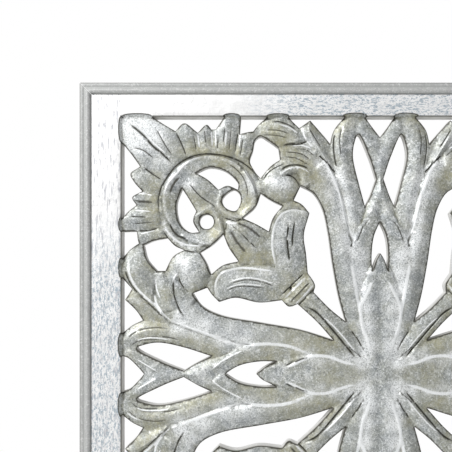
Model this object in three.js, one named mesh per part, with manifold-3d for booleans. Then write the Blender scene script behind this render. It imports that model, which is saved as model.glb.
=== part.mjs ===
// A square wall panel: a pierced and carved acanthus board in a flat border, with a reeded rim on its four edges.
// Millimetres. X runs to the right, Z up, the back is flat on y = 0 and the carving faces -Y.
// The origin is on the back, at the middle of the top border, where the panel is fixed to its wall.

import * as THREE from 'three';
import { mergeVertices } from 'three/addons/utils/BufferGeometryUtils.js';
import Module from 'manifold-3d';

const wasm = await Module();
wasm.setup();

// Driving dimensions
const OPENING_WIDTH = 520;
const OPENING_HEIGHT = 518;
const STILE_WIDTH = 30;
const RAIL_WIDTH = 22;
const RIM_WIDTH = 11;
const BORDER_THICKNESS = 17;
const GROUND_THICKNESS = 11;
const RIM_THICKNESS = 20;
const FITTING_GAP = 0.3;

const HALF_WIDTH = OPENING_WIDTH / 2;
const HALF_HEIGHT = OPENING_HEIGHT / 2;
const BOARD_HALF_WIDTH = HALF_WIDTH + STILE_WIDTH;
const BOARD_HALF_HEIGHT = HALF_HEIGHT + RAIL_WIDTH;
const RIM_HALF_WIDTH = BOARD_HALF_WIDTH + RIM_WIDTH;
const RIM_HALF_HEIGHT = BOARD_HALF_HEIGHT + RIM_WIDTH;
const CENTRE_Z = -(HALF_HEIGHT + RAIL_WIDTH / 2);

// How deep a relief piece is rooted in the ground, and how far a cutter runs past what it cuts
const ROOT_HEIGHT = 5;
const CUT_MARGIN = 3;

// How finely curves are stepped
const HOLE_STEPS_PER_SPAN = 1;
const RING_STEPS = 11;
const BOSS_SIDES = 8;
const EYE_SIDES = 8;

// The four quarters of the panel are mirror copies of one drawing
const QUARTERS = [[-1, 1], [1, 1], [-1, -1], [1, -1]];

// The drawing is of the top left quarter. A point is [right, down] from the opening's top left corner, and a third
// value marks it as a sharp corner. Between corners the outline is a smooth curve through the points.
const SHARP = true;

// What is sawn right through, from the corner outwards. Names say what lies round each gap.
const HOLES = {
  left_of_corner_leaf: [
    [0, 26, SHARP], [18, 49.5, SHARP], [8.4, 57], [12, 65], [20, 74.5, SHARP],
    [10.4, 81], [14.3, 88.5, SHARP], [5.5, 96], [0, 103, SHARP],
  ],
  above_palmette: [
    [31, 0, SHARP], [53.5, 14, SHARP], [62.5, 6.5], [76, 15.5, SHARP],
    [85.5, 8], [90, 12.3, SHARP], [94.5, 12.3, SHARP], [103, 0, SHARP],
  ],
  top_gap_by_third_lobe: [
    [119.7, 0, SHARP], [118.3, 17, SHARP], [132, 14.5, SHARP], [146, 0, SHARP],
  ],
  left_gap_by_third_lobe: [
    [0, 115.5, SHARP], [14.7, 115, SHARP], [16.8, 127.3, SHARP], [8.5, 133], [0, 142.5, SHARP],
  ],
  right_of_palmette: [
    [139.5, 19], [157.5, 30.5, SHARP], [159.3, 43, SHARP], [150, 49.3], [139.5, 61.5, SHARP],
    [134, 55], [128.7, 44], [134.3, 22.5],
  ],
  below_palmette: [
    [21, 129, SHARP], [31, 124.6], [45.5, 121.8, SHARP], [53, 129.7], [62.5, 134, SHARP],
    [52, 140], [43.5, 155, SHARP], [34.5, 155, SHARP], [25, 143.5],
  ],
  scroll_top: [
    [74, 56, SHARP], [88, 50.5], [105, 54.7], [117, 67], [116.8, 73, SHARP],
    [106, 69], [97, 73, SHARP], [86, 62.8],
  ],
  scroll_side: [
    [60, 71.5, SHARP], [54.6, 88], [58.5, 108], [69, 116.3], [77.3, 116, SHARP],
    [71.4, 105], [74.5, 94.5, SHARP],
  ],
  scroll_eye_by_petal: [
    [100.5, 84], [104, 78], [113, 73], [118.7, 78], [119.2, 87], [114, 94.5], [104.5, 91.5],
  ],
  above_centre_petal: [
    [139.7, 76.5, SHARP], [161.7, 89.3, SHARP], [152, 101.5], [147.7, 115, SHARP],
    [121.5, 101.7, SHARP], [134.3, 90.5],
  ],
  left_of_centre_petal: [
    [78.3, 136.7, SHARP], [84.5, 146.5], [89.3, 158.7, SHARP], [101.5, 149.3], [117, 145.3, SHARP],
    [107.5, 131.5], [102, 118, SHARP], [91.5, 128.2],
  ],
  long_gap_above: [
    [180, 69, SHARP], [193, 76.5], [202, 92], [207.5, 115], [218.5, 181], [225.3, 206, SHARP],
    [210, 193.7], [193, 176.5, SHARP], [194.2, 169], [187, 157, SHARP], [183.1, 119], [188.8, 96.5, SHARP],
    [181, 87.7], [173, 83.7, SHARP],
  ],
  long_gap_below: [
    [71, 177.7, SHARP], [85.7, 172, SHARP], [97.7, 186.3, SHARP], [114, 182], [138, 186.7],
    [161, 184.5, SHARP], [168, 191], [176.7, 188.3, SHARP], [196, 206], [212.8, 224.8, SHARP],
    [180, 214.8], [99, 199.8], [80, 190.3],
  ],
  top_gap_by_spur: [
    [168, 0, SHARP], [178.5, 10.8, SHARP], [189.5, 3.5, SHARP], [210, 27, SHARP],
    [213.5, 13.2], [224, 0, SHARP],
  ],
  left_gap_by_spur: [
    [0, 162, SHARP], [9.8, 173, SHARP], [3.2, 184, SHARP], [13.5, 194.3], [20.7, 204.7, SHARP],
    [10, 210], [0, 218, SHARP],
  ],
  top_middle_lens: [
    [238.2, 17.2], [234.2, 26], [232.7, 40], [245, 90.7, SHARP], [256.5, 62, SHARP],
    [249, 39.3],
  ],
  left_middle_lens: [
    [14.5, 233], [22, 229.6], [37, 227.3], [63, 232.4], [90, 241, SHARP], [62, 256, SHARP],
    [39, 246.7],
  ],
  top_middle_gap: [
    [245.5, 0, SHARP], [263, 24, SHARP], [263, 0, SHARP],
  ],
  left_middle_gap: [
    [0, 240.7, SHARP], [6, 242.7], [17, 253], [25, 263, SHARP], [0, 263, SHARP],
  ],
  left_middle_crescent: [
    [155, 246.3, SHARP], [139, 246.2], [117, 250.7], [98, 263, SHARP], [131, 263, SHARP], [142, 253.3],
  ],
  top_middle_crescent: [
    [252, 155, SHARP], [251.5, 139], [254, 119], [264, 98, SHARP], [264, 131, SHARP], [256.5, 143],
  ],
};

// The boss in the middle of the panel, where the stems meet: [radius, height] from its foot to its top
const BOSS_PROFILE = [[24, ROOT_HEIGHT], [24, 15], [9, 16.6]];

// The plain round eye of the lower scroll arm
const LOWER_EYE = { right: 85, down: 105.3, radius: 7.4 };

// Relief, standing up from the ground. A rung crosses a leaf from its left edge to its right edge, looking along it,
// as [right, down, right, down, crest height]. "edges" are the heights of its two edges, and "ridge" is where the
// crest lies between them. A sunk edge dies into the ground.
const SUNK = GROUND_THICKNESS - 1.2;
const SUNK_REACH = 2.5;
const LEAVES = {
  corner_leaf: {
    edges: [SUNK, SUNK], ridge: 0.5,
    rungs: [[-19, 18, 18, -19, 12.4], [16, 52, 56, 12, 15.4], [42, 70, 72, 42, SUNK]],
  },
  lobe_top_1: {
    edges: [SUNK, SUNK], ridge: 0.5,
    rungs: [[52, 4, 76, 4, 14.4], [61, 42, 80, 37, 12]],
  },
  lobe_top_2: {
    edges: [SUNK, SUNK], ridge: 0.5,
    rungs: [[77, 5, 91, 5, 14.4], [79, 39, 92, 37, 12]],
  },
  lobe_top_3: {
    edges: [SUNK, SUNK], ridge: 0.5,
    rungs: [[92, -2, 122, -2, 14], [91, 20, 117, 20, 14.8], [92, 38, 114, 41, 12]],
  },
  lobe_top_4: {
    edges: [SUNK, SUNK], ridge: 0.5,
    rungs: [[118, 11, 137, 11, 14.4], [113, 41, 130, 46, 12]],
  },
  lobe_left_1: {
    edges: [SUNK, SUNK], ridge: 0.5,
    rungs: [[4, 76, 4, 51, 14.4], [38, 78, 42, 61, 12]],
  },
  lobe_left_2: {
    edges: [SUNK, SUNK], ridge: 0.5,
    rungs: [[5, 89, 5, 76, 14.4], [37, 91, 38, 78, 12]],
  },
  lobe_left_3: {
    edges: [SUNK, SUNK], ridge: 0.5,
    rungs: [[-2, 119, -2, 89, 14], [20, 116, 20, 90, 14.8], [40, 111, 37, 91, 12]],
  },
  lobe_left_4: {
    edges: [SUNK, SUNK], ridge: 0.5,
    rungs: [[11, 132, 11, 115, 14.4], [46, 123, 40, 111, 12]],
  },
  centre_petal: {
    edges: [SUNK, SUNK], ridge: 0.5,
    rungs: [[103, 111, 112, 102, 13], [105, 132, 140, 107, 15.8], [134, 160, 162, 142, SUNK]],
  },
  sprout: {
    edges: [SUNK, SUNK], ridge: 0.5,
    rungs: [[58, 68, 71, 54, 13], [69, 88, 90, 64, 14.8], [97, 105, 105, 97, 12.4]],
  },
  upper_petal: {
    edges: [15.4, 13.6], ridge: 0.45,
    rungs: [
      [183, 94, 188.6, 98, 15.6], [162, 97, 184, 110, 16.4], [151.5, 120, 183.5, 126, 17],
      [156, 153, 187, 157, 16.6], [167, 172, 183, 166, 15.6],
    ],
  },
  left_petal: {
    edges: [13.6, 15.4], ridge: 0.55,
    rungs: [
      [99, 186, 93.5, 180, 15.6], [112, 182, 98, 160, 16.4], [129, 185, 122, 151.5, 17],
      [161, 184.5, 155, 154, 16.6], [172, 181, 166, 166, 15.6],
    ],
  },
  collar: {
    edges: [14, 14], ridge: 0.5,
    rungs: [[162, 186, 173, 191, 16], [174, 170.5, 185, 181, 17], [188, 158, 195, 171, 16]],
  },
  flower_stem: {
    edges: [12.6, 12.6], ridge: 0.5,
    rungs: [[177, 188, 193, 176, 15.4], [213, 225, 226, 207, 16.2], [236, 245, 243, 237, 15]],
  },
  stem_above: {
    edges: [SUNK, 14.6], ridge: 0.62,
    rungs: [
      [240, 247, 250, 243, 15], [225, 206, 243, 215, 15.8], [211.5, 143, 232, 147, 16.2],
      [188, 72, 214, 62, 15.6], [179, 68, 203, 44, 15],
    ],
  },
  stem_below: {
    edges: [14.6, SUNK], ridge: 0.38,
    rungs: [
      [243, 250, 247, 240, 15], [213, 242, 213, 225, 15.8], [150, 230, 150, 209, 16.2],
      [73, 214, 79, 190, 15.6], [50, 205, 68, 179, 15],
    ],
  },
  curl_above: {
    edges: [SUNK, SUNK], ridge: 0.5,
    rungs: [
      [207, 50, 183, 70, 15], [184, 33, 179, 52, 15.4], [161, 42, 163, 54, 14.4],
      [144, 54, 155, 62, 14.6], [144, 80, 156, 73, 14],
    ],
  },
  curl_below: {
    edges: [SUNK, SUNK], ridge: 0.5,
    rungs: [
      [66, 180, 50, 204, 15], [51, 175, 36, 180, 15.4], [53, 160, 44, 156, 14.4],
      [60, 151, 54, 140, 14.6], [75, 153, 80, 141, 14],
    ],
  },
  ball_above: {
    edges: [SUNK, SUNK], ridge: 0.5,
    rungs: [[155, 86, 177, 82, 13], [155, 60, 175, 60, 15.6]],
  },
  ball_below: {
    edges: [SUNK, SUNK], ridge: 0.5,
    rungs: [[83, 177, 86, 155, 13], [59, 174, 59, 154, 15.6]],
  },
  top_leaf: {
    edges: [SUNK, SUNK], ridge: 0.6,
    rungs: [[146, -2, 168, -2, 12.8], [134, 18, 178, 11, 15.2], [157, 30, 190, 22, 15]],
  },
  top_leaf_tail: {
    edges: [SUNK, SUNK], ridge: 0.3,
    rungs: [[159, 44, 158, 30, 14.4], [192, 56, 196, 33, 14.8]],
  },
  left_leaf: {
    edges: [SUNK, SUNK], ridge: 0.4,
    rungs: [[-2, 163, -2, 142, 12.8], [14, 177, 22, 130, 15.2], [30, 189, 34, 155, 15]],
  },
  left_leaf_tail: {
    edges: [SUNK, SUNK], ridge: 0.7,
    rungs: [[31, 158, 44, 155, 14.4], [37, 197, 57, 192, 14.8]],
  },
  top_spur: {
    edges: [SUNK, SUNK], ridge: 0.45,
    rungs: [[188, 3, 191, 3, 12.8], [180, 14, 199, 14, 15.2], [198, 37, 216, 55, 14.8]],
  },
  left_spur: {
    edges: [SUNK, SUNK], ridge: 0.55,
    rungs: [[3, 185.5, 3, 182.5, 12.8], [14, 195, 14, 175, 15.2], [50, 211, 36, 193, 14.6]],
  },
  top_arch_leaf: {
    edges: [SUNK, SUNK], ridge: 0.42,
    rungs: [
      [222, -2, 246, -2, 12.8], [211, 24, 235, 24, 15.4], [214, 54, 236, 54, 15.6],
      [224, 99, 246, 95, 15.2], [234, 129, 236, 128, 14],
    ],
  },
  left_arch_leaf: {
    edges: [SUNK, SUNK], ridge: 0.58,
    rungs: [
      [-2, 241, -2, 217, 12.8], [25, 229, 25, 206, 15.4], [54, 230, 54, 209, 15.6],
      [95, 242, 99, 221, 15.2], [122, 234, 123, 231, 14],
    ],
  },
  top_cross_band: {
    edges: [SUNK, SUNK], ridge: 0.5,
    rungs: [[243, -2, 236, 17, 13.4], [262, 22, 262, 72, 15.4]],
  },
  left_cross_band: {
    edges: [SUNK, SUNK], ridge: 0.5,
    rungs: [[14, 231, -2, 240, 13.4], [72, 261, 22, 261, 15.4]],
  },
  top_return_band: {
    edges: [SUNK, SUNK], ridge: 0.5,
    rungs: [[262, 46, 262, 100, 15.2], [235, 125, 237, 128, 13]],
  },
  left_return_band: {
    edges: [SUNK, SUNK], ridge: 0.5,
    rungs: [[100, 261, 46, 261, 15.2], [122, 235, 120, 233, 13]],
  },
  top_inner_lobe: {
    edges: [14.8, SUNK], ridge: 0.2,
    rungs: [[252, 92, 264, 104, 15], [236, 125, 255, 137, 15.4], [233, 160, 255, 158, 15]],
  },
  left_inner_lobe: {
    edges: [SUNK, 14.8], ridge: 0.8,
    rungs: [[103, 263, 91, 251, 15], [137, 249, 125, 233, 15.4], [156, 249, 160, 230.5, 15]],
  },
  top_midline_leaf: {
    edges: [15, 14], ridge: 0.4,
    rungs: [[256, 140, 262, 140, 15], [239.5, 190, 262, 190, 16], [243, 240, 262, 240, 15.2]],
  },
  left_midline_leaf: {
    edges: [14, 15], ridge: 0.6,
    rungs: [[140, 261, 140, 256, 15], [190, 261, 190, 240.5, 16], [240, 261, 240, 242, 15.2]],
  },
};

// The scroll is a ring with a sharp outer crest and a face that falls to its inner edge. Its two ends curl round
// the eyes. Angles run from the right, over the top, and round by the left to the bottom.
const SCROLL = {
  crest: { right: 88, down: 84, radiusAcross: 46.5, radiusDown: 44.6 },
  inner: { right: 86.7, down: 84.5, radiusAcross: 32, radiusDown: 32 },
  from: -14,
  to: 282,
  crestHeight: 16,
  innerHeight: 12.2,
};
const SCROLL_ARMS = {
  arm_above: {
    edges: [14.6, SUNK], ridge: 0.2,
    rungs: [[135, 90, 117, 84, 15.6], [104, 108, 104, 88, 14.6]],
  },
  arm_below: {
    edges: [SUNK, 14.6], ridge: 0.8,
    rungs: [[80, 115, 91, 130, 15.6], [90, 98, 103, 102, 14.6]],
  },
};

// Veins cut back into the leaves: [right, down] stations, with a width at the face and the height of their floor
const VEINS = {
  corner_midrib: { width: 4, floor: 11.6, path: [[6, 7], [52, 49]] },
};

// A point of the drawing in the panel's own frame, in the quarter given by its two signs
const place = (right, down, height, [acrossSign, upSign]) => new THREE.Vector3(
  acrossSign * (HALF_WIDTH - right),
  -height,
  upSign * (HALF_HEIGHT - down) + CENTRE_Z,
);

// A solid from corner points and triangles, turned outwards whichever way the quarter mirrored it
function solidFrom(points, triangles) {
  const volume = triangles.reduce((sum, [a, b, c]) => (
    sum + points[a].dot(new THREE.Vector3().crossVectors(points[b], points[c]))
  ), 0);
  const outward = volume > 0 ? triangles : triangles.map(([a, b, c]) => [a, c, b]);
  return new wasm.Manifold(new wasm.Mesh({
    numProp: 3,
    vertProperties: new Float32Array(points.flatMap((point) => point.toArray())),
    triVerts: new Uint32Array(outward.flat()),
  }));
}

// Cross-sections joined one to the next, each closed on itself, with flat ends
function loft(sections) {
  const sides = sections[0].length;
  const triangles = [];
  for (let row = 0; row < sections.length - 1; row += 1) {
    for (let side = 0; side < sides; side += 1) {
      const here = row * sides + side;
      const next = row * sides + ((side + 1) % sides);
      triangles.push([here, next, next + sides], [here, next + sides, here + sides]);
    }
  }
  const last = (sections.length - 1) * sides;
  for (let side = 1; side < sides - 1; side += 1) {
    triangles.push([0, side + 1, side], [last, last + side, last + side + 1]);
  }
  return solidFrom(sections.flat(), triangles);
}

// A flat outline raised from one height to another
function slab(points, from, to, quarter) {
  const outline = points.map(([right, down]) => {
    const corner = place(right, down, 0, quarter);
    return new THREE.Vector2(corner.x, corner.z);
  });
  const geometry = new THREE.ExtrudeGeometry(new THREE.Shape(outline), { depth: to - from, bevelEnabled: false });
  geometry.rotateX(Math.PI / 2);
  geometry.translate(0, -from, 0);
  geometry.deleteAttribute('normal');
  geometry.deleteAttribute('uv');
  const merged = mergeVertices(geometry);
  return new wasm.Manifold(new wasm.Mesh({
    numProp: 3,
    vertProperties: new Float32Array(merged.attributes.position.array),
    triVerts: new Uint32Array(merged.index.array),
  }));
}

// The points of an outline: straight or smooth from each sharp corner to the next
function drawOutline(points, stepsPerSpan) {
  const firstSharp = points.findIndex((point) => point[2] === SHARP);
  const drawn = [];
  if (firstSharp < 0) {
    const loop = new THREE.CatmullRomCurve3(points.map(([right, down]) => new THREE.Vector3(right, down, 0)), true);
    return loop.getPoints(points.length * stepsPerSpan).slice(0, -1).map((point) => [point.x, point.y]);
  }
  const ordered = [...points.slice(firstSharp), ...points.slice(0, firstSharp), points[firstSharp]];
  let run = [ordered[0]];
  for (const point of ordered.slice(1)) {
    run.push(point);
    if (point[2] === SHARP) {
      const curve = new THREE.CatmullRomCurve3(run.map(([right, down]) => new THREE.Vector3(right, down, 0)));
      const steps = run.length === 2 ? 1 : (run.length - 1) * stepsPerSpan;
      drawn.push(...curve.getPoints(steps).slice(0, -1).map((step) => [step.x, step.y]));
      run = [point];
    }
  }
  return drawn;
}

// One leaf, stem or lobe: five corners to a rung, its crest between its two edges. A sunk edge reaches a little
// past the drawn one, so that two neighbours meet in a valley and a saw cut trims the face and not its foot.
function leaf({ rungs, edges, ridge }, quarter) {
  const reach = edges.map((height) => (height === SUNK ? SUNK_REACH : 0));
  return loft(rungs.map(([leftRight, leftDown, rightRight, rightDown, crest]) => {
    const across = Math.hypot(rightRight - leftRight, rightDown - leftDown);
    const at = (fraction, height) => place(
      THREE.MathUtils.lerp(leftRight, rightRight, fraction),
      THREE.MathUtils.lerp(leftDown, rightDown, fraction),
      height,
      quarter,
    );
    const left = -reach[0] / across;
    const right = 1 + reach[1] / across;
    return [
      at(left, ROOT_HEIGHT),
      at(left, Math.min(edges[0], crest)),
      at(ridge, crest),
      at(right, Math.min(edges[1], crest)),
      at(right, ROOT_HEIGHT),
    ];
  }));
}

// The scroll's ring, stepped round its ellipses
function scrollRing(quarter) {
  const onEllipse = ({ right, down, radiusAcross, radiusDown }, angle) => [
    right + radiusAcross * Math.cos(angle),
    down - radiusDown * Math.sin(angle),
  ];
  const sections = [];
  for (let step = 0; step <= RING_STEPS; step += 1) {
    const angle = THREE.MathUtils.degToRad(THREE.MathUtils.lerp(SCROLL.from, SCROLL.to, step / RING_STEPS));
    const crest = onEllipse(SCROLL.crest, angle);
    const inner = onEllipse(SCROLL.inner, angle);
    sections.push([
      place(...crest, ROOT_HEIGHT, quarter),
      place(...crest, SCROLL.crestHeight, quarter),
      place(...inner, SCROLL.innerHeight, quarter),
      place(...inner, ROOT_HEIGHT, quarter),
    ]);
  }
  return loft(sections);
}

// A V-shaped cut along a path
function vein({ width, floor, path }, quarter) {
  return loft(path.map(([right, down], index) => {
    const before = path[Math.max(index - 1, 0)];
    const after = path[Math.min(index + 1, path.length - 1)];
    const run = Math.hypot(after[0] - before[0], after[1] - before[1]);
    const sideRight = -(after[1] - before[1]) / run * width / 2;
    const sideDown = (after[0] - before[0]) / run * width / 2;
    const top = BORDER_THICKNESS + CUT_MARGIN;
    return [
      place(right, down, floor, quarter),
      place(right + 2 * sideRight, down + 2 * sideDown, top, quarter),
      place(right - 2 * sideRight, down - 2 * sideDown, top, quarter),
    ];
  }));
}

// A round outline
function circle({ right, down, radius }, sides) {
  return Array.from({ length: sides }, (unused, side) => {
    const angle = (side / sides) * 2 * Math.PI;
    return [right + radius * Math.cos(angle), down + radius * Math.sin(angle)];
  });
}

// A block of the board, by its half width and half height about the panel's centre
function block(halfWidth, halfHeight, from, to) {
  const geometry = new THREE.BoxGeometry(2 * halfWidth, to - from, 2 * halfHeight);
  geometry.translate(0, -(from + to) / 2, CENTRE_Z);
  geometry.deleteAttribute('normal');
  geometry.deleteAttribute('uv');
  const merged = mergeVertices(geometry);
  return new wasm.Manifold(new wasm.Mesh({
    numProp: 3,
    vertProperties: new Float32Array(merged.attributes.position.array),
    triVerts: new Uint32Array(merged.index.array),
  }));
}

// The boss where the four quarters meet
function centreBoss() {
  return loft(BOSS_PROFILE.map(([radius, height]) => (
    circle({ right: HALF_WIDTH, down: HALF_HEIGHT, radius }, BOSS_SIDES)
      .map(([right, down]) => place(right, down, height, QUARTERS[0]))
  )));
}

const joined = (solids) => solids.reduce((whole, solid) => whole.add(solid));

// The board: a border round a thinner ground, the leaves raised on the ground, and the holes sawn through
function carvedPanel() {
  const board = block(BOARD_HALF_WIDTH, BOARD_HALF_HEIGHT, 0, BORDER_THICKNESS);
  const recess = block(HALF_WIDTH, HALF_HEIGHT, GROUND_THICKNESS, BORDER_THICKNESS + CUT_MARGIN);
  const border = board.subtract(recess);
  const relief = [centreBoss()];
  const cuts = [];
  for (const quarter of QUARTERS) {
    const raised = [...Object.values(LEAVES), ...Object.values(SCROLL_ARMS)].map((shape) => leaf(shape, quarter));
    const veins = joined(Object.values(VEINS).map((shape) => vein(shape, quarter)));
    relief.push(joined([...raised, scrollRing(quarter)]).subtract(veins));
    for (const outline of Object.values(HOLES)) {
      const points = drawOutline(outline, HOLE_STEPS_PER_SPAN);
      cuts.push(slab(points, -CUT_MARGIN, BORDER_THICKNESS + CUT_MARGIN, quarter));
    }
    cuts.push(slab(circle(LOWER_EYE, EYE_SIDES), -CUT_MARGIN, BORDER_THICKNESS + CUT_MARGIN, quarter));
  }
  return border.add(joined(relief)).subtract(joined(cuts));
}

// The rim's section, outwards in: [distance from the outer edge, height], a small bead, a groove and a broad bead
const RIM_PROFILE = [
  [0, 0], [0, 17], [0.8, 18.6], [2.4, 19], [3.8, 18.2], [4.6, 16.6], [5.6, 18.6], [7.2, RIM_THICKNESS],
  [9, 19.4], [10.2, 17.6], [RIM_WIDTH - FITTING_GAP, 16.4], [RIM_WIDTH - FITTING_GAP, 0],
];

// One mitred strip: its section runs along one side and is cut back at both ends by its distance from the edge
function rimStrip(side) {
  const upright = side === 'left' || side === 'right';
  const sign = side === 'left' || side === 'bottom' ? -1 : 1;
  const halfLength = upright ? RIM_HALF_HEIGHT : RIM_HALF_WIDTH;
  const halfSpan = upright ? RIM_HALF_WIDTH : RIM_HALF_HEIGHT;
  const ends = [-1, 1].map((end) => RIM_PROFILE.map(([inset, height]) => {
    const along = end * (halfLength - inset - FITTING_GAP);
    const out = sign * (halfSpan - inset);
    return upright
      ? new THREE.Vector3(out, -height, along + CENTRE_Z)
      : new THREE.Vector3(along, -height, out + CENTRE_Z);
  }));
  return loft(ends);
}

// A named mesh from a solid
function named(name, solid, material) {
  const mesh = solid.getMesh();
  const geometry = new THREE.BufferGeometry();
  geometry.setAttribute('position', new THREE.BufferAttribute(new Float32Array(mesh.vertProperties), 3));
  geometry.setIndex([...mesh.triVerts]);
  geometry.computeVertexNormals();
  const object = new THREE.Mesh(geometry, material);
  object.name = name;
  return object;
}

const silvered = new THREE.MeshStandardMaterial({ color: 0xc3c6c1, roughness: 0.55, metalness: 0.25 });
const reeded = new THREE.MeshStandardMaterial({ color: 0xbfbfb4, roughness: 0.5, metalness: 0.2 });

const group = new THREE.Group();
group.add(named('carved_panel', carvedPanel(), silvered));
for (const side of ['top', 'bottom', 'left', 'right']) {
  group.add(named(`rim_${side}`, rimStrip(side), reeded.clone()));
}

export default group;
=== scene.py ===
# A square wall panel, pierced and carved with acanthus leaves, silvered over a pale ground.
# The leafwork is drawn once, for the top left quarter, and mirrored. Its surface is worked out as a height
# over a fine grid, and then meshed between the sawn outlines.
import math

import bpy
import numpy as np
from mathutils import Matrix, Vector
from mathutils.geometry import delaunay_2d_cdt


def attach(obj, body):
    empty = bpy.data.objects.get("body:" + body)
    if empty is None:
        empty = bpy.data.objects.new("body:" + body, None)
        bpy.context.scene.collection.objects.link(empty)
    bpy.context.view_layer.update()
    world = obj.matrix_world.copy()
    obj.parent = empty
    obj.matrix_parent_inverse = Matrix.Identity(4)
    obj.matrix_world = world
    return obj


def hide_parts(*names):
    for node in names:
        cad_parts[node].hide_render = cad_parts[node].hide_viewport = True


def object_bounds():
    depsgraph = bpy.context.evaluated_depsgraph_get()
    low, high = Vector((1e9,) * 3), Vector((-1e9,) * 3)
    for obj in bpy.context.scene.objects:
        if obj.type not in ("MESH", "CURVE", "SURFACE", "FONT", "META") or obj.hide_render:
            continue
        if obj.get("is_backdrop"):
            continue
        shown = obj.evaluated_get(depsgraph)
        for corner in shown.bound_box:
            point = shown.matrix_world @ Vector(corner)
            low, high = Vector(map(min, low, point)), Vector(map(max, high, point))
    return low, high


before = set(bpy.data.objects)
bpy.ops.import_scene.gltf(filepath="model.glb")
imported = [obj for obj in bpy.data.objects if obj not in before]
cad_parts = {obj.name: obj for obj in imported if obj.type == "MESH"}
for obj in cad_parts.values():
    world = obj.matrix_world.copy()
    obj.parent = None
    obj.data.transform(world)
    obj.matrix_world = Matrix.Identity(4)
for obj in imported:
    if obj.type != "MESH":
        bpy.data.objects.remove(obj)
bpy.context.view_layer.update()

# Sizes in millimetres, the same as the solids'
OPENING_WIDTH = 520
OPENING_HEIGHT = 518
STILE_WIDTH = 30
RAIL_WIDTH = 22
RIM_WIDTH = 11
BORDER_THICKNESS = 17
GROUND_THICKNESS = 11
RIM_THICKNESS = 20
FITTING_GAP = 0.3
MILLIMETRE = 0.001

HALF_WIDTH = OPENING_WIDTH / 2
HALF_HEIGHT = OPENING_HEIGHT / 2
CENTRE_Z = -(HALF_HEIGHT + RAIL_WIDTH / 2)
QUARTERS = [(-1, 1), (1, 1), (-1, -1), (1, -1)]

# What is sawn right through, named after what lies round each gap. The drawing's points are right and down
# from the opening's top left corner: (right, down) is a sharp corner, [right, down] lies on a curve.
HOLES = {
    "left_of_corner_leaf": [(0, 26), [9, 37], (18, 49.5), [8.4, 57], [12, 65], (20, 74.5), [10.4, 81],
        (14.3, 88.5), [5.5, 96], (0, 103)],
    "above_palmette": [(31, 0), [42, 7.3], (53.5, 14), [62.5, 6.5], (76, 15.5), [85.5, 8], (90, 12.3),
        (94.5, 12.3), (103, 0)],
    "top_gap_by_third_lobe": [(119.7, 0), (118.3, 17), (132, 14.5), [137.5, 7.5], (146, 0)],
    "left_gap_by_third_lobe": [(0, 115.5), (14.7, 115), (16.8, 127.3), [8.5, 133], (0, 142.5)],
    "right_of_palmette": [[139.5, 19], [147, 23], (157.5, 30.5), (159.3, 43), [150, 49.3], (139.5, 61.5),
        [134, 55], [128.7, 44], [131.8, 33], [134.3, 22.5]],
    "below_palmette": [(21, 129), [31, 124.6], (45.5, 121.8), [53, 129.7], (62.5, 134), [52, 140],
        (43.5, 155), (34.5, 155), [25, 143.5]],
    "scroll_top": [(74, 56), [88, 50.5], [105, 54.7], [117, 67], (116.8, 73), [106, 69], (97, 73),
        [86, 62.8]],
    "scroll_side": [(60, 71.5), [54.6, 88], [58.5, 108], [69, 116.3], (77.3, 116), [71.4, 105],
        (74.5, 94.5), [67, 82]],
    "scroll_eye_by_petal": [[100.5, 84], [104, 78], [113, 73], [118.7, 78], [119.2, 87], [114, 94.5],
        [104.5, 91.5]],
    "above_centre_petal": [(139.7, 76.5), [150, 83.5], (161.7, 89.3), [152, 101.5], (147.7, 115),
        [135, 107.8], (121.5, 101.7), [134.3, 90.5]],
    "left_of_centre_petal": [(78.3, 136.7), [84.5, 146.5], (89.3, 158.7), [101.5, 149.3], (117, 145.3),
        [107.5, 131.5], (102, 118), [91.5, 128.2]],
    "long_gap_above": [(180, 69), [193, 76.5], [202, 92], [207.5, 115], [212.3, 148], [218.5, 181],
        (225.3, 206), [210, 193.7], (193, 176.5), [194.2, 169], (187, 157), [185.3, 138], [183.1, 119],
        (188.8, 96.5), [181, 87.7], (173, 83.7)],
    "long_gap_below": [(71, 177.7), (85.7, 172), [90.5, 179], (97.7, 186.3), [114, 182], [138, 186.7],
        (161, 184.5), [168, 191], (176.7, 188.3), [196, 206], (212.8, 224.8), [180, 214.8], [140, 207.5],
        [99, 199.8], [80, 190.3]],
    "top_gap_by_spur": [(168, 0), [171.7, 4.2], (178.5, 10.8), (189.5, 3.5), [203, 18.5], (210, 27),
        [213.5, 13.2], (224, 0)],
    "left_gap_by_spur": [(0, 162), (9.8, 173), (3.2, 184), [13.5, 194.3], (20.7, 204.7), [10, 210],
        (0, 218)],
    "top_middle_lens": [[238.2, 17.2], [234.2, 26], [232.7, 40], [238.7, 67], (245, 90.7), [250.5, 79],
        (256.5, 62), [249, 39.3]],
    "left_middle_lens": [[14.5, 233], [22, 229.6], [37, 227.3], [63, 232.4], (90, 241), [76, 247.7],
        (62, 256), [39, 246.7]],
    "top_middle_gap": [(245.5, 0), [250, 7], (263, 24), (263, 0)],
    "left_middle_gap": [(0, 240.7), [6, 242.7], [17, 253], (25, 263), (0, 263)],
    "left_middle_crescent": [(155, 246.3), [139, 246.2], [117, 250.7], (98, 263), (131, 263),
        [142, 253.3]],
    "top_middle_crescent": [(252, 155), [251.5, 139], [254, 119], (264, 98), (264, 131), [256.5, 143]],
}
# The plain round eye of the lower scroll arm, and the soft sinking of the leaf round it
LOWER_EYE = {"right": 85, "down": 105.3, "radius": 7.4, "sinks": 1.6, "over": 3.0}

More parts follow.
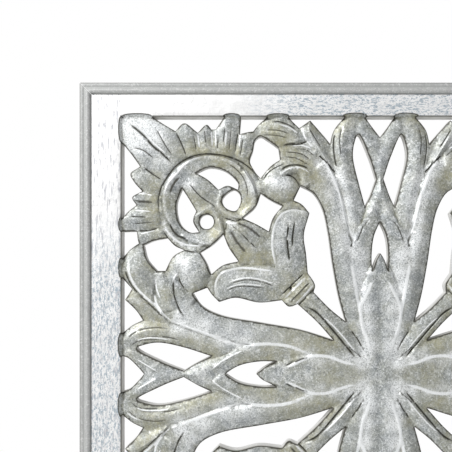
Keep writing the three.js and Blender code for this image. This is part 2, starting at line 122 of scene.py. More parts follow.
# Relief. A leaf is where its crest lies between its edges, the heights of its two edges, and its rungs.
# A rung crosses the leaf from its left edge to its right edge, looking along it, as
# [right, down, right, down, crest height].
SUNK = GROUND_THICKNESS - 0.2
LEAVES = {
    "corner_leaf": [0.5, SUNK, SUNK, [-19, 18, 18, -19, 13.6], [16, 52, 56, 12, 15.6],
        [42, 70, 72, 42, 12.4]],
    "lobe_top_1": [0.5, SUNK, SUNK, [52, 4, 76, 4, 14.4], [61, 42, 80, 37, 12]],
    "lobe_top_2": [0.5, SUNK, SUNK, [77, 5, 91, 5, 14.4], [79, 39, 92, 37, 12]],
    "lobe_top_3": [0.5, SUNK, SUNK, [92, -2, 122, -2, 14], [91, 20, 117, 20, 14.8],
        [92, 38, 114, 41, 12]],
    "lobe_top_4": [0.5, SUNK, SUNK, [118, 11, 137, 11, 14.4], [113, 41, 130, 46, 12]],
    "lobe_left_1": [0.5, SUNK, SUNK, [4, 76, 4, 51, 14.4], [38, 78, 42, 61, 12]],
    "lobe_left_2": [0.5, SUNK, SUNK, [5, 89, 5, 76, 14.4], [37, 91, 38, 78, 12]],
    "lobe_left_3": [0.5, SUNK, SUNK, [-2, 119, -2, 89, 14], [20, 116, 20, 90, 14.8],
        [40, 111, 37, 91, 12]],
    "lobe_left_4": [0.5, SUNK, SUNK, [11, 132, 11, 115, 14.4], [46, 123, 40, 111, 12]],
    "centre_petal": [0.5, SUNK, SUNK, [103, 111, 112, 102, 13], [105, 132, 140, 107, 15.8],
        [134, 160, 162, 142, SUNK]],
    "sprout": [0.5, SUNK, SUNK, [58, 68, 71, 54, 13], [69, 88, 90, 64, 14.8], [97, 105, 105, 97, 12.4]],
    "upper_petal": [0.45, 15.4, 13.6, [183, 94, 188.6, 98, 15.6], [162, 97, 184, 110, 16.4],
        [151.5, 120, 183.5, 126, 17], [156, 153, 187, 157, 16.6], [167, 172, 183, 166, 15.6]],
    "left_petal": [0.55, 13.6, 15.4, [99, 186, 93.5, 180, 15.6], [112, 182, 98, 160, 16.4],
        [129, 185, 122, 151.5, 17], [161, 184.5, 155, 154, 16.6], [172, 181, 166, 166, 15.6]],
    "collar": [0.5, 14, 14, [162, 186, 173, 191, 16], [174, 170.5, 185, 181, 17],
        [188, 158, 195, 171, 16]],
    "flower_stem": [0.5, 12.6, 12.6, [177, 188, 193, 176, 15.4], [213, 225, 226, 207, 16.2],
        [236, 245, 243, 237, 15]],
    "stem_above": [0.62, SUNK, 14.6, [240, 247, 250, 243, 15], [225, 206, 243, 215, 15.8],
        [211.5, 143, 232, 147, 16.2], [203, 97, 223, 97, 16], [188, 72, 214, 62, 15.6],
        [179, 68, 203, 44, 15]],
    "stem_below": [0.38, 14.6, SUNK, [243, 250, 247, 240, 15], [213, 242, 213, 225, 15.8],
        [150, 230, 150, 209, 16.2], [99, 222, 99, 199, 16], [73, 214, 79, 190, 15.6],
        [50, 205, 68, 179, 15]],
    "curl_above": [0.8, 12.2, 14.6, [208, 56, 180, 74, 15.4], [190, 38, 180, 58, 15.8],
        [171, 42, 172, 54, 15.6], [154, 45.5, 162, 60, 15.2], [141, 57, 153, 67, 14.6],
        [137, 72, 150, 75, 13.8]],
    "curl_below": [0.25, 14.6, 12.2, [76, 180, 54, 208, 15.4], [62, 172, 49, 186, 15.8],
        [56, 162, 44, 168, 15.6], [58, 156, 45, 152, 15.2], [66, 146, 57, 136, 14.6],
        [76, 144, 74, 132, 13.8]],
    "top_leaf": [0.6, SUNK, SUNK, [146, -2, 168, -2, 12.8], [134, 18, 178, 11, 15.2],
        [157, 30, 190, 22, 15]],
    "top_leaf_tail": [0.3, SUNK, SUNK, [159, 44, 158, 30, 14.4], [192, 56, 196, 33, 14.8]],
    "left_leaf": [0.4, SUNK, SUNK, [-2, 163, -2, 142, 12.8], [14, 177, 22, 130, 15.2],
        [30, 189, 34, 155, 15]],
    "left_leaf_tail": [0.7, SUNK, SUNK, [31, 158, 44, 155, 14.4], [37, 197, 57, 192, 14.8]],
    "top_spur": [0.45, SUNK, SUNK, [188, 3, 191, 3, 12.8], [180, 14, 199, 14, 15.2],
        [198, 37, 216, 55, 14.8]],
    "left_spur": [0.55, SUNK, SUNK, [3, 185.5, 3, 182.5, 12.8], [14, 195, 14, 175, 15.2],
        [50, 211, 36, 193, 14.6]],
    "top_arch_leaf": [0.42, SUNK, SUNK, [222, -2, 246, -2, 12.8], [211, 24, 235, 24, 15.4],
        [214, 54, 236, 54, 15.6], [224, 99, 246, 95, 15.2], [234, 129, 236, 128, 14]],
    "left_arch_leaf": [0.58, SUNK, SUNK, [-2, 241, -2, 217, 12.8], [25, 229, 25, 206, 15.4],
        [54, 230, 54, 209, 15.6], [95, 242, 99, 221, 15.2], [122, 234, 123, 231, 14]],
    "top_cross_band": [0.5, SUNK, SUNK, [243, -2, 236, 17, 13.4], [262, 22, 262, 72, 15.4]],
    "left_cross_band": [0.5, SUNK, SUNK, [14, 231, -2, 240, 13.4], [72, 261, 22, 261, 15.4]],
    "top_return_band": [0.5, SUNK, SUNK, [262, 46, 262, 100, 15.2], [235, 125, 237, 128, 13]],
    "left_return_band": [0.5, SUNK, SUNK, [100, 261, 46, 261, 15.2], [122, 235, 120, 233, 13]],
    "top_inner_lobe": [0.2, 14.8, SUNK, [252, 92, 264, 104, 15], [234, 125, 255, 137, 15.4],
        [231, 160, 252, 160, 15], [237, 196, 242, 196, 14.4]],
    "left_inner_lobe": [0.8, SUNK, 14.8, [103, 263, 91, 251, 15], [137, 249, 125, 231, 15.4],
        [160, 252, 162, 229, 15], [196, 242, 196, 237, 14.4]],
    "top_midline_leaf": [0.4, 15, 14, [256, 138, 263, 138, 14.6], [239.5, 190, 262, 190, 16],
        [243, 222, 262, 222, 16], [252, 262, 262, 262, 15.4]],
    "left_midline_leaf": [0.6, 14, 15, [138, 263, 138, 255, 14.6], [190, 262, 190, 240.5, 16],
        [222, 262, 222, 244, 16], [263, 262, 263, 251, 15.4]],
    "arm_above": [0.2, 14.6, SUNK, [135, 90, 118, 88, 15.6], [121, 102, 114, 94, 15],
        [97, 91, 102, 86, 14], [99, 74, 104, 78, 12.6]],
    "arm_below": [0.8, SUNK, 14.6, [86, 116, 91, 129, 15.6], [93, 110, 102, 116, 15],
        [87, 98, 89, 92, 14], [77, 103, 72, 100, 12.6]],
}

# Round bosses: [right, down, half width, half height, turn in degrees, foot height, top height]
DOMES = {
    "ball_above": [160, 71, 19, 13.5, 8, 12.4, 16.9],
    "ball_below": [71.5, 157, 16, 21, 8, 12.4, 16.9],
}

# The scroll is a ring with a sharp outer crest and a face that falls to its inner edge. Both are ellipses:
# [right, down, half width, half height, height]. The ring runs from the right, over the top, to the bottom.
SCROLL_CREST = [88, 84, 46.5, 44.6, 16.4]
SCROLL_INNER = [86.7, 84.5, 32, 32, 12.4]
SCROLL_FROM = -14
SCROLL_TO = 282

# Grooves cut into the carving, as [width, depth, lines], and raised crests, as [width, height, lines]
GROOVES = {
    "corner_midrib": [3.4, 2.2, [[5, 5], [20, 17], [32, 30], [44, 40], [52, 49]]],
    "corner_ribs": [1.8, 0.8, [[34, 11], [39, 20], [46, 32], [52, 40]], [[10, 31], [20, 33], [34, 43]],
        [[22, 51], [34, 60]]],
    "corner_edge": [2.2, 1.2, [[53.5, 14], [60, 27], [65, 40]]],
    "corner_edge_low": [2, 1, [[20, 49], [32, 58], [41, 64]]],
    "lobe_groove_1": [1.8, 0.9, [[104, 10], [102, 27]]],
    "lobe_groove_2": [2.2, 1.2, [[117, 14], [115, 26], [113, 38]]],
    "lobe_ribs": [1.5, 0.7, [[72, 18], [75, 34]], [[83, 12], [85, 33]], [[97, 20], [96, 33]], [[110, 12],
        [108, 34]], [[122, 20], [119, 40]], [[12, 84], [32, 86]], [[10, 108], [32, 106]]],
    "lobe_left_groove": [2.2, 1.2, [[14, 115], [27, 114], [38, 111]]],
    "lobe_left_groove_2": [1.8, 0.9, [[8, 100], [26, 101]]],
    "ring_outside": [2.4, 1.2, [[40, 112], [37.5, 97], [36.5, 84], [39, 72], [45, 61], [54, 50],
        [64, 42.5], [76, 38], [90, 37], [104, 39], [116, 43], [126, 49], [134, 57], [139, 67],
        [141, 78]]],
    "ring_outside_low": [2.4, 1, [[40, 112], [48, 124], [58, 132], [68, 135.5], [80, 136]]],
    "ring_shade": [3.6, 0.7, [[48.5, 78], [50, 72], [54, 65], [59, 60]]],
    "ring_shade_low": [3.6, 0.7, [[48, 106], [51, 114], [57, 120], [66, 123]]],
    "ring_inner_line": [1.6, 0.6, [[104, 46], [114, 52], [122, 61], [126, 72], [126, 84]]],
    "eye_lower_edge": [2, 1.2, [[102, 101], [108, 103], [115, 104.5], [122, 101.5]]],
    "eye_fold": [1.8, 1, [[105, 106], [104.5, 114]]],
    "petal_slit_left": [2.6, 2.6, [[168, 105], [166.5, 125], [169, 148]]],
    "petal_slit_right": [2.4, 2.2, [[174, 104], [171.5, 124], [172, 131]]],
    "left_petal_shade": [1.8, 0.8, [[104, 170], [115, 166], [125, 164], [137, 165], [158, 172]]],
    "left_petal_shade_low": [1.8, 0.8, [[103, 177], [110, 173], [120, 170.5], [145, 172]]],
    "centre_petal_midrib": [2, 1.2, [[108, 107], [118, 116], [128, 125], [137, 134]]],
    "centre_petal_veins": [1.4, 0.5, [[112, 105], [128, 112], [142, 123]], [[108, 112], [116, 126],
        [126, 138]]],
    "sprout_midline": [2, 1, [[64, 62], [76, 77], [83, 83], [92, 89], [96, 94]]],
    "collar_middle": [3, 1.6, [[168, 188], [179, 177], [191, 164]]],
    "collar_side": [2.4, 1.4, [[159, 181], [171, 169], [185, 156]]],
    "collar_foot": [2.4, 1.4, [[176, 191], [186, 181], [195, 171]]],
    "flower_stem_middle": [3, 2, [[180, 189], [195, 196], [210, 212], [225, 230], [238, 246]]],
    "curl_above_line": [2.6, 1.6, [[190, 54], [184, 50.5], [178, 48.8], [171, 48.7], [164, 51],
        [158.5, 56]]],
    "curl_above_band": [1.8, 0.8, [[142, 66], [145, 59], [150, 54], [158, 49.5], [166, 46.5]]],
    "ball_above_edge": [1.8, 0.9, [[160, 58.5], [172, 60], [177, 66], [178, 71]]],
    "curl_below_line": [2.6, 1.8, [[52.5, 160], [52, 170], [53, 180], [56, 190], [60, 197], [65, 204]]],
    "ball_below_edge": [2, 1.4, [[57.5, 160], [59, 166], [63, 172], [70.4, 177]]],
    "top_leaf_groove": [2, 1.2, [[150, 5], [158, 5], [168, 8], [177, 14]]],
    "top_leaf_line": [1.6, 0.7, [[143, 13], [158, 14], [170, 18]]],
    "top_leaf_line_2": [1.6, 0.6, [[141, 18], [156, 19], [168, 22]]],
    "top_tail_groove": [2.4, 1.4, [[160, 29], [170, 27], [180, 26.5], [189, 23]]],
    "top_tail_line": [1.8, 0.8, [[163, 35], [180, 37], [191, 44]]],
    "top_tail_lines": [1.6, 0.6, [[162, 40], [176, 42], [190, 50]], [[172, 31], [184, 32], [195, 40]]],
    "top_spur_groove": [1.8, 1.2, [[188, 11], [194, 21], [201, 32]]],
    "top_spur_foot": [2.2, 1.4, [[196, 36], [206, 46], [217, 58]]],
    "top_arch_line": [2.2, 1.2, [[215, 14], [213, 26], [214, 40], [217, 54]]],
    "top_arch_inner": [1.6, 0.6, [[222, 8], [219, 24], [221, 44]]],
    "lobe_meets_stem": [2, 1.2, [[250, 103], [244.5, 108], [239, 119], [235, 129]]],
    "left_crest_outside": [2, 1.2, [[3.5, 145], [3.5, 154], [6.5, 164], [12, 173], [23, 184], [36, 196],
        [50, 210]]],
    "left_arch_lines": [1.6, 0.7, [[14, 224], [22, 221.5], [35, 221], [48, 222], [62, 225.5]], [[8, 232],
        [14, 226.5], [26, 224.5], [40, 224.5]]],
    "left_arch_outer": [1.6, 0.7, [[4, 227], [10, 219], [20, 214], [34, 212], [48, 213]]],
    "left_lobe_meets_leaf": [2, 1.4, [[162, 251], [172, 247], [181, 243.5], [190, 240]]],
    "midline_slit_1": [2.2, 1.6, [[229, 213], [236, 222], [241, 231], [244, 238]]],
    "midline_slit_2": [2, 1, [[226, 229], [234, 236], [242, 243]]],
}
CRESTS = {
    "broad_lobe_lights": [1.8, 0.4, [[76, 17], [78, 32]], [[90, 13], [91, 31]]],
    "lobe_lights": [1.6, 0.3, [[94, 13], [94.5, 31]], [[119, 16], [118, 31]], [[14, 76], [32, 79]],
        [[12, 94], [31, 95]], [[18, 118], [34, 114]], [[106, 14], [104, 31]]],
    "corner_light_1": [2.2, 0.3, [[8, 5], [20, 14], [34, 28], [47, 39]]],
    "ring_above": [3, 0.8, [[43.2, 78], [47.3, 67.3], [55.7, 57.3], [64, 48.4], [72.3, 43], [84, 39.5]]],
    "ring_right": [2.6, 0.5, [[122, 51], [128, 60], [132, 67], [135, 76]]],
    "ring_below": [3, 0.8, [[42, 107], [46.5, 116], [56, 125], [66, 129], [79, 129], [88, 125.5]]],
    "eye_facet": [3, 0.4, [[104, 105], [110, 107], [117, 106]]],
    "sprout_light": [2.6, 0.3, [[67, 67], [71, 71]]],
    "upper_petal_rim": [3.2, 0.7, [[188, 96.5], [180, 94.5], [172, 93.5], [165, 95.5], [160, 99],
        [156, 104], [153, 112], [151.5, 122], [151.5, 132], [153, 142], [156, 153]]],
    "left_petal_rim": [3.2, 0.7, [[96, 181], [94, 176], [94, 169], [97, 161], [101, 156.5], [110, 153.5],
        [120, 152], [135, 153], [157, 156]]],
    "left_petal_line": [2, 0.4, [[104, 168], [115, 164], [125, 162], [137, 163], [160, 170]]],
    "left_petal_line_low": [2, 0.4, [[103, 175], [110, 171], [120, 168.5], [145, 170]]],
    "collar_ridges": [3, 0.6, [[162, 184], [174, 172], [187, 159]], [[173, 190], [184, 179], [194, 167]]],
    "flower_stem_crest": [2.2, 0.5, [[198, 199], [207, 205], [220, 218], [232, 233], [240, 244]]],
    "stem_above_ridge": [4.4, 0.7, [[194, 33], [199, 40], [204, 46], [209, 53], [215, 68], [220.5, 83],
        [224, 97], [228, 112], [232.5, 122], [236, 131]]],
    "stem_above_low": [4.4, 0.5, [[231, 138], [232, 155], [234, 165], [237, 183], [241, 205],
        [244, 228]]],
    "curl_above_crest": [2.2, 0.7, [[158, 61], [161, 57.5], [165, 54], [172, 51], [179, 51.4], [185, 54],
        [190, 58]]],
    "left_crest": [3.7, 0.6, [[7.5, 140], [6.5, 148], [7.5, 157], [10, 164], [14, 171], [20, 178],
        [26, 183.5], [33, 189], [40, 197], [50, 207]]],
    "left_ridge": [2.2, 0.4, [[34, 161], [34.5, 172], [39, 184]]],
    "left_tail_ridge": [2.5, 0.4, [[32, 176], [34, 186], [40, 196], [50, 206]]],
    "curl_below_crest": [2.8, 0.6, [[52, 168], [52.5, 163], [55, 159], [57.5, 156]]],
    "stem_below_ridge": [4.8, 0.8, [[47, 205], [55, 208], [70, 212.5], [90, 220], [110, 227], [130, 229],
        [145, 228], [168, 230.5], [185, 237], [200, 244]]],
    "left_arch_ridge": [2.2, 0.4, [[5, 221], [10, 216.5], [17, 213]]],
    "left_arch_light": [2.2, 0.4, [[12, 228], [20, 223.5], [35, 222.5], [50, 224.5]]],
    "left_cross_light": [2, 0.5, [[14, 243], [24, 249], [36, 256]]],
    "left_lobe_light": [2, 0.5, [[88, 256], [99, 247], [114, 238.5], [124, 233.5]]],
    "left_midline_rim": [4.5, 0.7, [[160, 256], [166, 252], [173, 248.5], [182, 244], [190, 240.5],
        [200, 240], [210, 241.5], [222, 246], [240, 250]]],
    "top_midline_rim": [4.5, 0.7, [[256, 160], [252, 166], [248.5, 173], [244, 182], [240.5, 190],
        [240, 200], [241.5, 210], [246, 222], [250, 240]]],
    "top_leaf_ridge": [2.2, 0.4, [[157, 7.5], [168, 10.5], [178, 17]]],
    "top_tail_ridge": [2.2, 0.5, [[170, 29], [182, 28.5], [192, 32]]],
    "top_spur_ridge": [2.2, 0.5, [[181, 9], [184, 20], [193, 32]]],
}

# Where the leaf has a brownish patina, is dull silver with painted shade, or carries a painted highlight, as
# strength: [right, down, reach] of each patch
PATINA = {
    0.3: [[226, 60, 6], [118, 182, 10]],
    0.4: [[86, 74, 10], [120, 112, 9], [205, 92, 9], [216, 110, 8], [82, 170, 8], [84, 148, 6],
        [216, 150, 10], [222, 180, 10], [232, 110, 6], [14, 158, 9], [26, 168, 8]],
    0.5: [[112, 128, 12], [142, 118, 10], [148, 56, 8], [205, 30, 10], [214, 44, 6], [50, 196, 7],
        [8, 236, 8], [152, 218, 14], [186, 150, 10], [150, 178, 12]],
    0.6: [[60, 34, 14], [128, 44, 12], [50, 126, 12], [50, 88, 9], [160, 84, 10], [217, 14, 7],
        [72, 174, 8], [48, 218, 14], [236, 256, 12], [150, 82, 7], [143, 70, 5], [164, 160, 8]],
    0.7: [[34, 62, 12], [122, 60, 12], [70, 80, 9], [194, 12, 9], [46, 150, 8], [28, 150, 9], [4, 158, 6],
        [22, 218, 14], [232, 212, 8], [172, 80, 8], [176, 62, 8]],
    0.8: [[112, 36, 12], [36, 112, 12], [98, 108, 10], [94, 120, 10], [150, 12, 17], [160, 24, 12],
        [198, 68, 12], [178, 88, 10], [8, 176, 8], [34, 206, 10], [87, 176, 9], [92, 160, 7],
        [70, 226, 14], [194, 198, 9], [206, 214, 8], [218, 226, 8], [126, 246, 12], [210, 254, 16]],
    0.9: [[78, 34, 12], [96, 33, 12], [33, 78, 11], [31, 96, 12], [104, 44, 12], [131, 84, 12],
        [104, 92, 10], [84, 92, 10], [226, 4, 10], [22, 190, 12], [44, 178, 8], [92, 236, 12],
        [176, 224, 13], [200, 230, 12], [150, 238, 12], [176, 240, 10]],
    1: [[118, 98, 11], [126, 142, 16], [146, 144, 11], [172, 38, 14], [188, 52, 12], [168, 184, 9],
        [190, 164, 9]],
    1.2: [[178, 176, 14]],
}
# Duller, darker silver: tarnish mottle, and painted shade on the scroll ring's outer band and round the
# balls
DULL_AND_SHADED = {
    0.3: [[48, 32, 7], [218, 30, 6], [206, 70, 6], [64, 58, 5]],
    0.4: [[146, 220, 7], [168, 116, 6], [177, 140, 8], [183, 112, 6], [128, 160, 6], [55, 24, 6],
        [30, 112, 5], [26, 46, 6], [56, 71, 5], [50, 92, 5], [54, 104, 5], [62, 116, 5], [206, 246, 5],
        [120, 124, 8], [132, 116, 6]],
    0.5: [[219, 146, 7], [230, 200, 6], [70, 184, 7], [84, 196, 7], [102, 207, 8], [122, 214, 8],
        [84, 81, 5], [174, 58, 5], [84, 160, 5], [79, 172, 5], [56, 184, 5], [134, 62, 4], [110, 42, 4],
        [222, 226, 5], [200, 200, 5]],
    0.6: [[29, 172, 5], [222, 164, 8], [226, 182, 7], [138, 184, 8], [64, 24, 6], [80, 20, 5],
        [100, 18, 6], [124, 30, 6], [76, 70, 6], [196, 20, 5], [146, 60, 4], [142, 74, 4], [52, 150, 4],
        [118, 44, 5], [212, 214, 5]],
    0.7: [[20, 156, 6], [118, 182, 8], [114, 24, 6], [25, 64, 6], [20, 85, 5], [18, 105, 7], [205, 36, 4],
        [212, 44, 4]],
    0.8: [[24, 164, 6], [49, 108, 3.5]],
    0.9: [[64, 123, 4]],
    1: [[68, 41.5, 3.2], [48, 124, 3.2]],
    1.2: [[51, 72, 3.5], [53, 118, 4], [38, 84, 3.4], [39, 76, 3.2], [42, 67, 3.2], [47, 59, 3.2],
        [53, 52, 3.2], [60, 46, 3.2], [38, 98, 3.4], [39, 107, 3.2], [42, 116, 3.2]],
}
# Painted highlights, as white patches on the corner leaf, the balls, the ring's crest and the stems
PAINTED_HIGHLIGHTS = {
    0.2: [[67, 162, 7]],
    0.25: [[104, 22, 8]],
    0.3: [[130, 218, 10], [172, 104, 8], [38, 38, 10]],
    0.4: [[84, 206, 9], [70, 200, 9], [66, 190, 7], [220, 60, 8], [150, 226, 8], [112, 156, 7],
        [140, 158, 7]],
    0.5: [[40, 22, 10], [192, 24, 6], [36, 166, 5], [200, 246, 6], [157, 112, 6], [156, 128, 6],
        [160, 146, 6], [110, 216, 9], [176, 232, 7], [208, 76, 6], [226, 150, 6]],
    0.6: [[226, 102, 7], [234, 168, 7], [196, 46, 5]],
    0.7: [[64, 154, 6], [222, 84, 7], [128, 229, 7], [202, 48, 6], [226, 84, 7], [84, 212, 8],
        [120, 226, 7], [58, 202, 6], [230, 124, 7]],
    0.8: [[30, 12, 12], [12, 28, 12], [162, 66, 6], [213, 242, 5], [74, 215, 7], [100, 225, 7],
        [128, 66, 6], [133, 74, 5], [46, 68, 4], [110, 106, 5], [70, 68, 5], [222, 66, 6], [223, 104, 8],
        [210, 56, 6]],
    0.9: [[153, 66, 5], [188, 240, 6], [225, 120, 8], [230, 134, 8]],
    1: [[14, 10, 17], [6, 4, 10], [62, 145, 6], [214, 62, 7], [228, 243, 5], [77, 129, 2.2]],
    1.1: [[42, 107, 2.2]],
    1.2: [[240, 140, 7], [241, 156, 7], [58, 210, 8], [69, 45.5, 2.2], [68, 129.5, 2.2]],
    1.3: [[243, 174, 7], [245, 192, 7], [246, 210, 7]],
    1.4: [[44, 76, 2.2], [63, 49, 2.2], [44, 113, 2.2], [60, 128, 2.2]],
    1.5: [[248, 230, 8], [242, 246, 8], [46, 70, 2.2], [49, 64, 2.2], [53, 58.5, 2.2], [58, 53.5, 2.2],
        [48, 119, 2.2], [53, 124, 2.2]],
}

# Where leaves grow out of the border, its inner edge is scooped: [from, to, how far the scoop reaches]
SCOOPS_TOP = [[1, 31, 2.5], [102, 119, 2.5], [146, 168, 2.5], [222, 247, 3.0]]
SCOOPS_LEFT = [[0, 26, 2.5], [101, 115.5, 2.5], [142, 162, 2.5], [217, 241, 3.0]]
SCOOP_DEPTH = 3.6
SCOOP_LIMIT = 4
NO_SCOOP = 0.001

# The height grid and what is worked out on it
CELL = 0.4
GRID_LEFT = -34.0
GRID_TOP = -26.0
GRID_COLUMNS = 742
GRID_ROWS = 720
STROKE_STEP = 0.22
OVERLAP = 0.04
RING_STROKES = 1600
RING_RUNGS = 90
ROUNDED = 0.8
DOME_FULLNESS = 0.6
FORM_BLUR = 0.4
HOLLOW_BLUR = 2.6
HOLLOW_RANGE = 6.0
LINE_TAPER = 6
LINE_TIP = 0.25
DEEPEST = GROUND_THICKNESS - 3
HIGHEST = BORDER_THICKNESS + 0.6

# The mesh
OUTLINE_SPACING = 1.4
LINE_SPACING = 1.15
FACE_SPACING = 2.2
BORDER_SPACING = 5.0
EDGE_SPACING = 6.0
SEAM_SPACING = 1.6
ROW_SPACING = 0.866
RING_SPOTS = 190
EYE_SPOTS = 40
LEAST_LINE_GAP = 0.75
LEAST_FACE_GAP = 1.4
SEAM_GAP = 0.6
EDGE_STEP = 0.8
BORDER_MARGIN = 2
ARRIS = 0.45
ARRIS_WIDTH = 0.6
BUCKET = 2.0
CARVING_CREASE = 38
RIM_CREASE = 60

# The dark outline of sawn edges and of the border's inner edge, partly dark patina and partly painted shade,
# and the patina beside them
OUTLINE_BLUR = 0.5
OUTLINE_FULL = 0.26
BESIDE_BLUR = 2.4
BESIDE_FULL = 0.11
BESIDE_PATINA = 0.35
SHORE_START = 1.25
SHORE_WIDTH = 0.7
SHORE_STRENGTH = 0.9

# Where the border starts to wear through, and over what length: [start, length]
WEAR_DOWN = [95, 70]
WEAR_ACROSS = [115, 60]


def smooth_run(points, spacing, closed=False):
    """A centripetal Catmull-Rom curve through the points, stepped evenly. Further columns go with it."""
    points = np.asarray(points, float)
    if len(points) == 2 and not closed:
        count = max(int(np.ceil(np.linalg.norm((points[1] - points[0])[:2]) / spacing)), 1)
        along = np.linspace(0, 1, count + 1)[:, None]
        return points[0] + (points[1] - points[0]) * along
    if closed:
        ring = np.vstack([points[-1], points, points[0], points[1]])
    else:
        ring = np.vstack([2 * points[0] - points[1], points, 2 * points[-1] - points[-2]])
    run = []
    for before, start, end, after in zip(ring, ring[1:], ring[2:], ring[3:]):
        pairs = ((before, start), (start, end), (end, after))
        gaps = [max(np.linalg.norm((b - a)[:2]) ** 0.5, 0.01) for a, b in pairs]
        leave = (start - before) / gaps[0] - (end - before) / (gaps[0] + gaps[1]) + (end - start) / gaps[1]
        arrive = (end - start) / gaps[1] - (after - start) / (gaps[1] + gaps[2]) + (after - end) / gaps[2]
        count = max(int(np.ceil(np.linalg.norm((end - start)[:2]) / spacing)), 1)
        t = (np.arange(count) / count)[:, None]
        run.append(
            (2 * t**3 - 3 * t**2 + 1) * start + (t**3 - 2 * t**2 + t) * leave * gaps[1]
            + (3 * t**2 - 2 * t**3) * end + (t**3 - t**2) * arrive * gaps[1]
        )
    if not closed:
        run.append(points[-1:])
    return np.vstack(run)


def outline_of(points, spacing):
    """A closed outline: straight or smooth from each sharp corner to the next."""
    sharp = [i for i, point in enumerate(points) if isinstance(point, tuple)]
    plain = [list(point) for point in points]
    if not sharp:
        return smooth_run(plain, spacing, closed=True)
    order = plain[sharp[0]:] + plain[:sharp[0]] + [plain[sharp[0]]]
    corners = [i - sharp[0] for i in sharp] + [len(plain)]
    return np.vstack([smooth_run(order[a:b + 1], spacing)[:-1] for a, b in zip(corners, corners[1:])])


def ellipse(edge, count):
    """The scroll's crest or inner edge."""
    right, down, half_width, half_height, _ = edge
    angles = np.radians(np.linspace(SCROLL_FROM, SCROLL_TO, count))
    return np.stack([right + half_width * np.cos(angles), down - half_height * np.sin(angles)], axis=1)


# Heights and marks on the grid
def cells(spots):
    """The [column, row] of each spot's cell."""
    return ((spots - np.array([GRID_LEFT, GRID_TOP])) / CELL).astype(int)


class HeightGrid:
    """Heights over the top left quarter, one value to a cell."""

    def __init__(self, level):
        self.values = np.full((GRID_ROWS, GRID_COLUMNS), float(level))
        across = GRID_LEFT + (np.arange(GRID_COLUMNS) + 0.5) * CELL
        down = GRID_TOP + (np.arange(GRID_ROWS) + 0.5) * CELL
        self.across, self.down = np.meshgrid(across, down)

    def cover(self, spots, heights):
        """Raises the cells under the spots to the heights."""
        columns, rows = cells(spots).reshape(-1, 2).T
        fits = (columns >= 0) & (columns < GRID_COLUMNS) & (rows >= 0) & (rows < GRID_ROWS)
        np.maximum.at(self.values, (rows[fits], columns[fits]), heights.ravel()[fits])


def sample(values, spots):
    """The grid's values at the spots, between the cells' middles."""
    column = np.clip((spots[:, 0] - GRID_LEFT) / CELL - 0.5, 0, GRID_COLUMNS - 1.001)
    row = np.clip((spots[:, 1] - GRID_TOP) / CELL - 0.5, 0, GRID_ROWS - 1.001)
    c, r = column.astype(int), row.astype(int)
    fc, fr = column - c, row - r
    return (
        values[r, c] * (1 - fc) * (1 - fr) + values[r, c + 1] * fc * (1 - fr)
        + values[r + 1, c] * (1 - fc) * fr + values[r + 1, c + 1] * fc * fr
    )


def blurred(values, width):
    """The grid's values softened over about that many millimetres."""
    reach = int(np.ceil(3 * width / CELL))
    weights = np.exp(-0.5 * (np.arange(-reach, reach + 1) * CELL / width) ** 2)
    weights /= weights.sum()
    for axis in (0, 1):
        pads = [(0, 0), (0, 0)]
        pads[axis] = (reach, reach)
        padded = np.pad(values, pads, mode="edge")
        places = np.arange(values.shape[axis])
        values = sum(weight * np.take(padded, i + places, axis=axis) for i, weight in enumerate(weights))
    return values


def raise_leaf(grid, ridge, left_edge, right_edge, *rungs):
    """One leaf, stem or lobe between its rungs."""
    rungs = smooth_run(rungs, STROKE_STEP)
    left, right, crest = rungs[:, 0:2], rungs[:, 2:4], rungs[:, 4]
    widest = np.linalg.norm(right - left, axis=1).max()
    across = np.linspace(-OVERLAP, 1 + OVERLAP, int(widest / STROKE_STEP) + 3)
    spots = left[:, None, :] + (right - left)[:, None, :] * across[None, :, None]
    climb = np.clip(np.where(across < ridge, across / ridge, (1 - across) / (1 - ridge)), 0, 1)
    foot = np.where(across < ridge, left_edge, right_edge)
    foot = np.minimum(foot[None, :], crest[:, None])
    grid.cover(spots, foot + (crest[:, None] - foot) * climb[None, :] ** ROUNDED)


def raise_ring(grid):
    """The scroll's ring, from its crest down to its inner edge."""
    outer, inner = ellipse(SCROLL_CREST, RING_STROKES), ellipse(SCROLL_INNER, RING_STROKES)
    across = np.linspace(0, 1, RING_RUNGS)
    spots = outer[:, None, :] + (inner - outer)[:, None, :] * across[None, :, None]
    heights = SCROLL_CREST[-1] + (SCROLL_INNER[-1] - SCROLL_CREST[-1]) * across**ROUNDED
    grid.cover(spots, np.broadcast_to(heights, spots.shape[:2]))


def raise_dome(grid, right, down, half_width, half_height, turn, foot, top):
    """A round boss."""
    turn = math.radians(turn)
    dx, dy = grid.across - right, grid.down - down
    along = (dx * math.cos(turn) + dy * math.sin(turn)) / half_width
    aside = (dy * math.cos(turn) - dx * math.sin(turn)) / half_height
    fullness = np.clip(1 - along**2 - aside**2, 0, 1)
    raised = foot + (top - foot) * fullness**DOME_FULLNESS
    grid.values = np.where(fullness > 0, np.maximum(grid.values, raised), grid.values)


def nearness(grid, width, points):
    """How near each cell of a window is to a line: 1 on it, 0 half the width away, less at its ends."""
    path = smooth_run(points, 1.0)
    first, last = np.maximum(cells(path.min(0) - width), 0), cells(path.max(0) + width) + 1
    window = slice(first[1], last[1]), slice(first[0], last[0])
    across, down = grid.across[window], grid.down[window]
    near = np.zeros(across.shape)
    steps = len(path) - 1
    for i in range(steps):
        start, along = path[i], path[i + 1] - path[i]
        t = np.clip(((across - start[0]) * along[0] + (down - start[1]) * along[1]) / (along @ along), 0, 1)
        gap = np.hypot(across - start[0] - t * along[0], down - start[1] - t * along[1])
        place = (i + t) / steps
        taper = np.clip(np.minimum(place, 1 - place) * LINE_TAPER, LINE_TIP, 1)
        near = np.maximum(near, np.clip(1 - gap / (width / 2 * taper), 0, 1) * taper)
    return window, near


